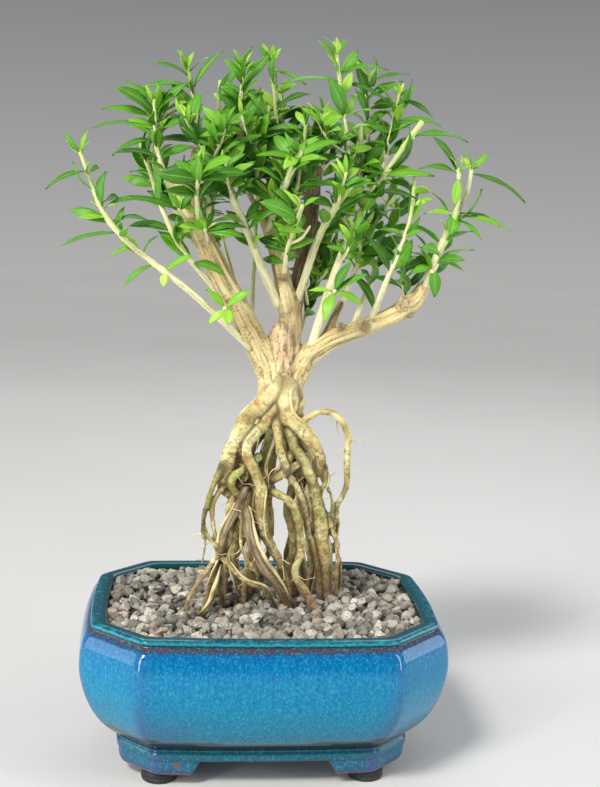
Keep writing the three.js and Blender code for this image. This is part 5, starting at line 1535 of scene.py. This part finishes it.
def fresh_leaf():
    look = Look("fresh_leaf")
    across, along, _ = look.split(look.add("UVMap", uv_map="blade").outputs[0])
    age, shade, _, _ = look.channels("tone")
    place = look.place()
    mottle = look.noise(place, 240.0, 3.0)
    ripe = look.plus(look.times(age, 0.56), look.times(shade, 0.5))
    colour = look.ramp(ripe, [(0.0, (0.52, 0.70, 0.11)), (0.3, (0.25, 0.50, 0.04)), (0.6, (0.085, 0.31, 0.012)),
                              (0.85, (0.042, 0.19, 0.008)), (1.0, (0.020, 0.10, 0.009))])
    colour = look.over(colour, mottle, 0.4, 0.7, 0.22, (0.16, 0.38, 0.02))
    off_rib = look.math("ABSOLUTE", look.math("SUBTRACT", across, 0.5))
    rib = look.level(off_rib, 0.05, 0.012)
    slant = look.plus(look.times(along, 11.0), look.times(off_rib, -9.0))
    vein = look.level(look.math("PINGPONG", slant, 0.5), 0.07, 0.0)
    lines = look.math("MAXIMUM", rib, look.times(vein, look.level(age, 0.2, 0.8, 0, 0.4)))
    colour = look.mix(look.times(lines, 0.42), colour, (0.42, 0.60, 0.14))
    normal = look.bump(look.math("SUBTRACT", mottle, lines), 0.12, 0.5)
    return look.surface(Base_Color=colour, Roughness=look.level(shade, 0, 1, 0.36, 0.5), Normal=normal,
                        Specular_IOR_Level=0.35)


make_shoots()


# The gravel: crushed grey stone, mostly 3 to 6 mm, some pieces tan or pink. It lies loose on the soil, raked
# level but a little higher round the trunk, with a dark hollow among the roots.
GRAVEL_SEED = 19
GRAVEL_STEP = 4.1
GRAVEL_LAYERS = ((59.8, 1.0, 0), (61.7, 0.95, 0.1), (63.2, 0.42, 0.5))
GRAVEL_SHIFT = (-1.8, 1.8)
GRAVEL_LIFT = (-0.7, 0.7)
SOIL_MOUND = 1.5
SOIL_MOUND_RADIUS = 35
STONE_SIZE = (3.4, 6.9)
STONE_SHAPE = ((0.95, 1.45), (0.8, 1.15), (0.65, 0.95))
STONE_TILT = (-0.9, 0.9)
STONE_CORNERS = 19
CORNER_REACH = (0.85, 1)
STONE_OVERLAP = 0.3
STONE_EDGE = 24
WALL_INSET = 11
HOLLOW_MIDDLE = (-13, 8)
HOLLOW_REACH = (12, 9)
HOLLOW_EDGE = (0.75, 1.1)


def inside_pot(x, y, margin):
    half_x, half_y = BELLY_HALF_WIDTH - WALL_INSET - margin, BELLY_HALF_DEPTH - WALL_INSET - margin
    cant = cant_at(WALL_INSET + margin)
    return abs(x) < half_x and abs(y) < half_y and (half_x - abs(x)) + (half_y - abs(y)) > cant


def add_stone(bm, middle, size, chance):
    """One crushed stone: flat facets between a few corners."""
    stone = bmesh.new()
    tone = stone.verts.layers.float_color.new("tone")
    squash = Vector([chance.uniform(*limits) for limits in STONE_SHAPE])
    turn = (Matrix.Rotation(chance.uniform(0, 6.28), 3, "Z") @ Matrix.Rotation(chance.uniform(*STONE_TILT), 3, "X")
            @ Matrix.Rotation(chance.uniform(*STONE_TILT), 3, "Y"))
    colour = (chance.random(), chance.random(), chance.random(), 1)
    for _ in range(STONE_CORNERS):
        out = Vector([chance.gauss(0, 1) for _ in range(3)]).normalized() * chance.uniform(*CORNER_REACH)
        corner = stone.verts.new(middle + turn @ (out * squash * size / 2))
        corner[tone] = colour
    hull = bmesh.ops.convex_hull(stone, input=stone.verts)
    bmesh.ops.delete(stone, geom=hull["geom_interior"], context="VERTS")
    bmesh.ops.recalc_face_normals(stone, faces=stone.faces)
    take_in(bm, stone)


def make_gravel():
    chance = random.Random(GRAVEL_SEED)
    roots = tree_of([ring[0] for ring, _, _ in wood_samples])
    bm = bmesh.new()
    columns, rows = int(2 * BELLY_HALF_WIDTH / GRAVEL_STEP), int(2 * BELLY_HALF_DEPTH / GRAVEL_STEP)
    for height, share, margin in GRAVEL_LAYERS:
        for i in range(columns):
            for j in range(rows):
                x = (i + 0.5) * GRAVEL_STEP - BELLY_HALF_WIDTH + chance.uniform(*GRAVEL_SHIFT)
                y = (j + 0.5) * GRAVEL_STEP - BELLY_HALF_DEPTH + chance.uniform(*GRAVEL_SHIFT)
                size = chance.uniform(*STONE_SIZE)
                mound = SOIL_MOUND * math.exp(-(x * x + y * y) / SOIL_MOUND_RADIUS ** 2)
                spot = Vector((x, y, height + mound + chance.uniform(*GRAVEL_LIFT)))
                hollow = math.hypot((x - HOLLOW_MIDDLE[0]) / HOLLOW_REACH[0],
                                    (y - HOLLOW_MIDDLE[1]) / HOLLOW_REACH[1]) < chance.uniform(*HOLLOW_EDGE)
                if chance.random() > share or hollow or not inside_pot(x, y, size * margin):
                    continue
                _, k, distance = roots.find(spot)
                if distance > wood_samples[k][0][3] + size * STONE_OVERLAP:
                    add_stone(bm, spot, size, chance)
    gravel = finish_mesh(bm, "gravel_stones", crushed_stone())
    gravel.data.set_sharp_from_angle(angle=math.radians(STONE_EDGE))
    stand_for(gravel, "gravel")


def crushed_stone():
    look = Look("crushed_stone")
    lightness, rarity, warmth, _ = look.channels("tone")
    place = look.place()
    speck = look.noise(place, 900.0, 4.0, 0.75)
    cloud = look.noise(place, 210.0, 3.0)
    grey = look.ramp(lightness, [(0.0, (0.085, 0.078, 0.066)), (0.45, (0.235, 0.22, 0.185)),
                               (0.8, (0.40, 0.375, 0.32)), (1.0, (0.66, 0.62, 0.53))])
    warm = look.ramp(warmth, [(0.0, (0.34, 0.27, 0.20)), (0.6, (0.40, 0.31, 0.23)), (1.0, (0.45, 0.28, 0.20))])
    colour = look.mix(look.level(rarity, 0.92, 0.95), grey, warm)
    colour = look.over(colour, cloud, 0.45, 0.7, 0.4, (0.48, 0.455, 0.39))
    colour = look.over(colour, speck, 0.49, 0.34, 0.8, (0.07, 0.062, 0.052))
    return look.surface(Base_Color=colour, Roughness=look.level(speck, 0.3, 0.7, 0.75, 0.95),
                        Normal=look.bump(speck, 0.4, 0.8))


make_gravel()


# The fine roots: thin living roots that grew from the thick ones. Some creep along them and on into the gravel,
# and threads stand off from them in the air.
THREAD_SEED = 5
THREADS = 90
CREEPERS = 44
CREEPER_RADIUS = (0.45, 1.0)
CREEPER_LENGTH = (18, 48)
CREEPER_TWIST = (-0.045, 0.045)
CREEPER_WANDER = 0.5
CREEPER_KNOTS = 0.3
CREEPERS_ABOVE = 64
THREADS_ABOVE = 72
THREAD_LENGTH = (6, 20)
THREAD_RADIUS = (0.15, 0.3)
THREAD_FALL = (-2.2, 0)
THREAD_STEPS = 7
THREAD_BEND = 0.42
THREAD_KNOTS = 0.25


def make_fine_roots():
    chance = random.Random(THREAD_SEED)
    roots = {}
    for ring, limb, _ in wood_samples:
        if limb >= len(LIMBS):
            roots.setdefault(limb, []).append(ring)
    bm = bmesh.new()
    for k in range(CREEPERS):
        host = roots[chance.choice(sorted(roots))]
        radius, reach = chance.uniform(*CREEPER_RADIUS), int(chance.uniform(*CREEPER_LENGTH) / WOOD_RING)
        first = chance.randrange(max(1, len(host) - reach))
        angle, twist = chance.uniform(0, 6.3), chance.uniform(*CREEPER_TWIST)
        centres = []
        for step, (centre, side, other, thick, run) in enumerate(host[first:first + reach]):
            turn = angle + twist * WOOD_RING * step + CREEPER_WANDER * noise.noise(Vector((run / 7, k, 0)))
            lift = thick * 0.95 + radius * 0.55 + CREEPER_WANDER * noise.noise(Vector((run / 9, k, 5)))
            centres.append(centre + spoke(side, other, turn) * lift)
        if len(centres) > 5 and centres[0].z > CREEPERS_ABOVE:
            radii = [radius * 0.4, radius, radius, radius * 0.35]
            add_tube(bm, fine_rings(centres[::2], radii, 1.6, knots(k + 300, CREEPER_KNOTS)), 6)
    rings = [ring for host in roots.values() for ring in host if ring[0].z > THREADS_ABOVE]
    for k in range(THREADS):
        start = chance.choice(rings)[0]
        away = Vector((start.x - 5, start.y - 2, 0)).normalized()
        away += Vector([chance.gauss(0, 0.5) for _ in range(3)])
        length, radius = chance.uniform(*THREAD_LENGTH), chance.uniform(*THREAD_RADIUS)
        heading = (away * 0.7 + Vector((0, 0, chance.uniform(*THREAD_FALL)))).normalized()
        centres, place = [start], start.copy()
        for _ in range(THREAD_STEPS):
            heading = (heading + Vector([chance.gauss(0, THREAD_BEND) for _ in range(3)])).normalized()
            place = place + heading * length / THREAD_STEPS
            centres.append(place)
        add_tube(bm, fine_rings(centres, [radius, radius * 0.5], 1.2, knots(k + 200, THREAD_KNOTS)), 5)
    stand_for(finish_mesh(bm, "fine_roots", root_thread()), "bark")


def root_thread():
    look = Look("root_thread")
    patch = look.noise(look.place(), 110.0, 3.0)
    colour = look.ramp(patch, [(0.3, (0.34, 0.24, 0.10)), (0.5, (0.66, 0.57, 0.27)), (0.7, (0.80, 0.75, 0.48))])
    return look.surface(Base_Color=colour, Roughness=0.7, Normal=look.bump(patch, 0.2, 0.5))


make_fine_roots()
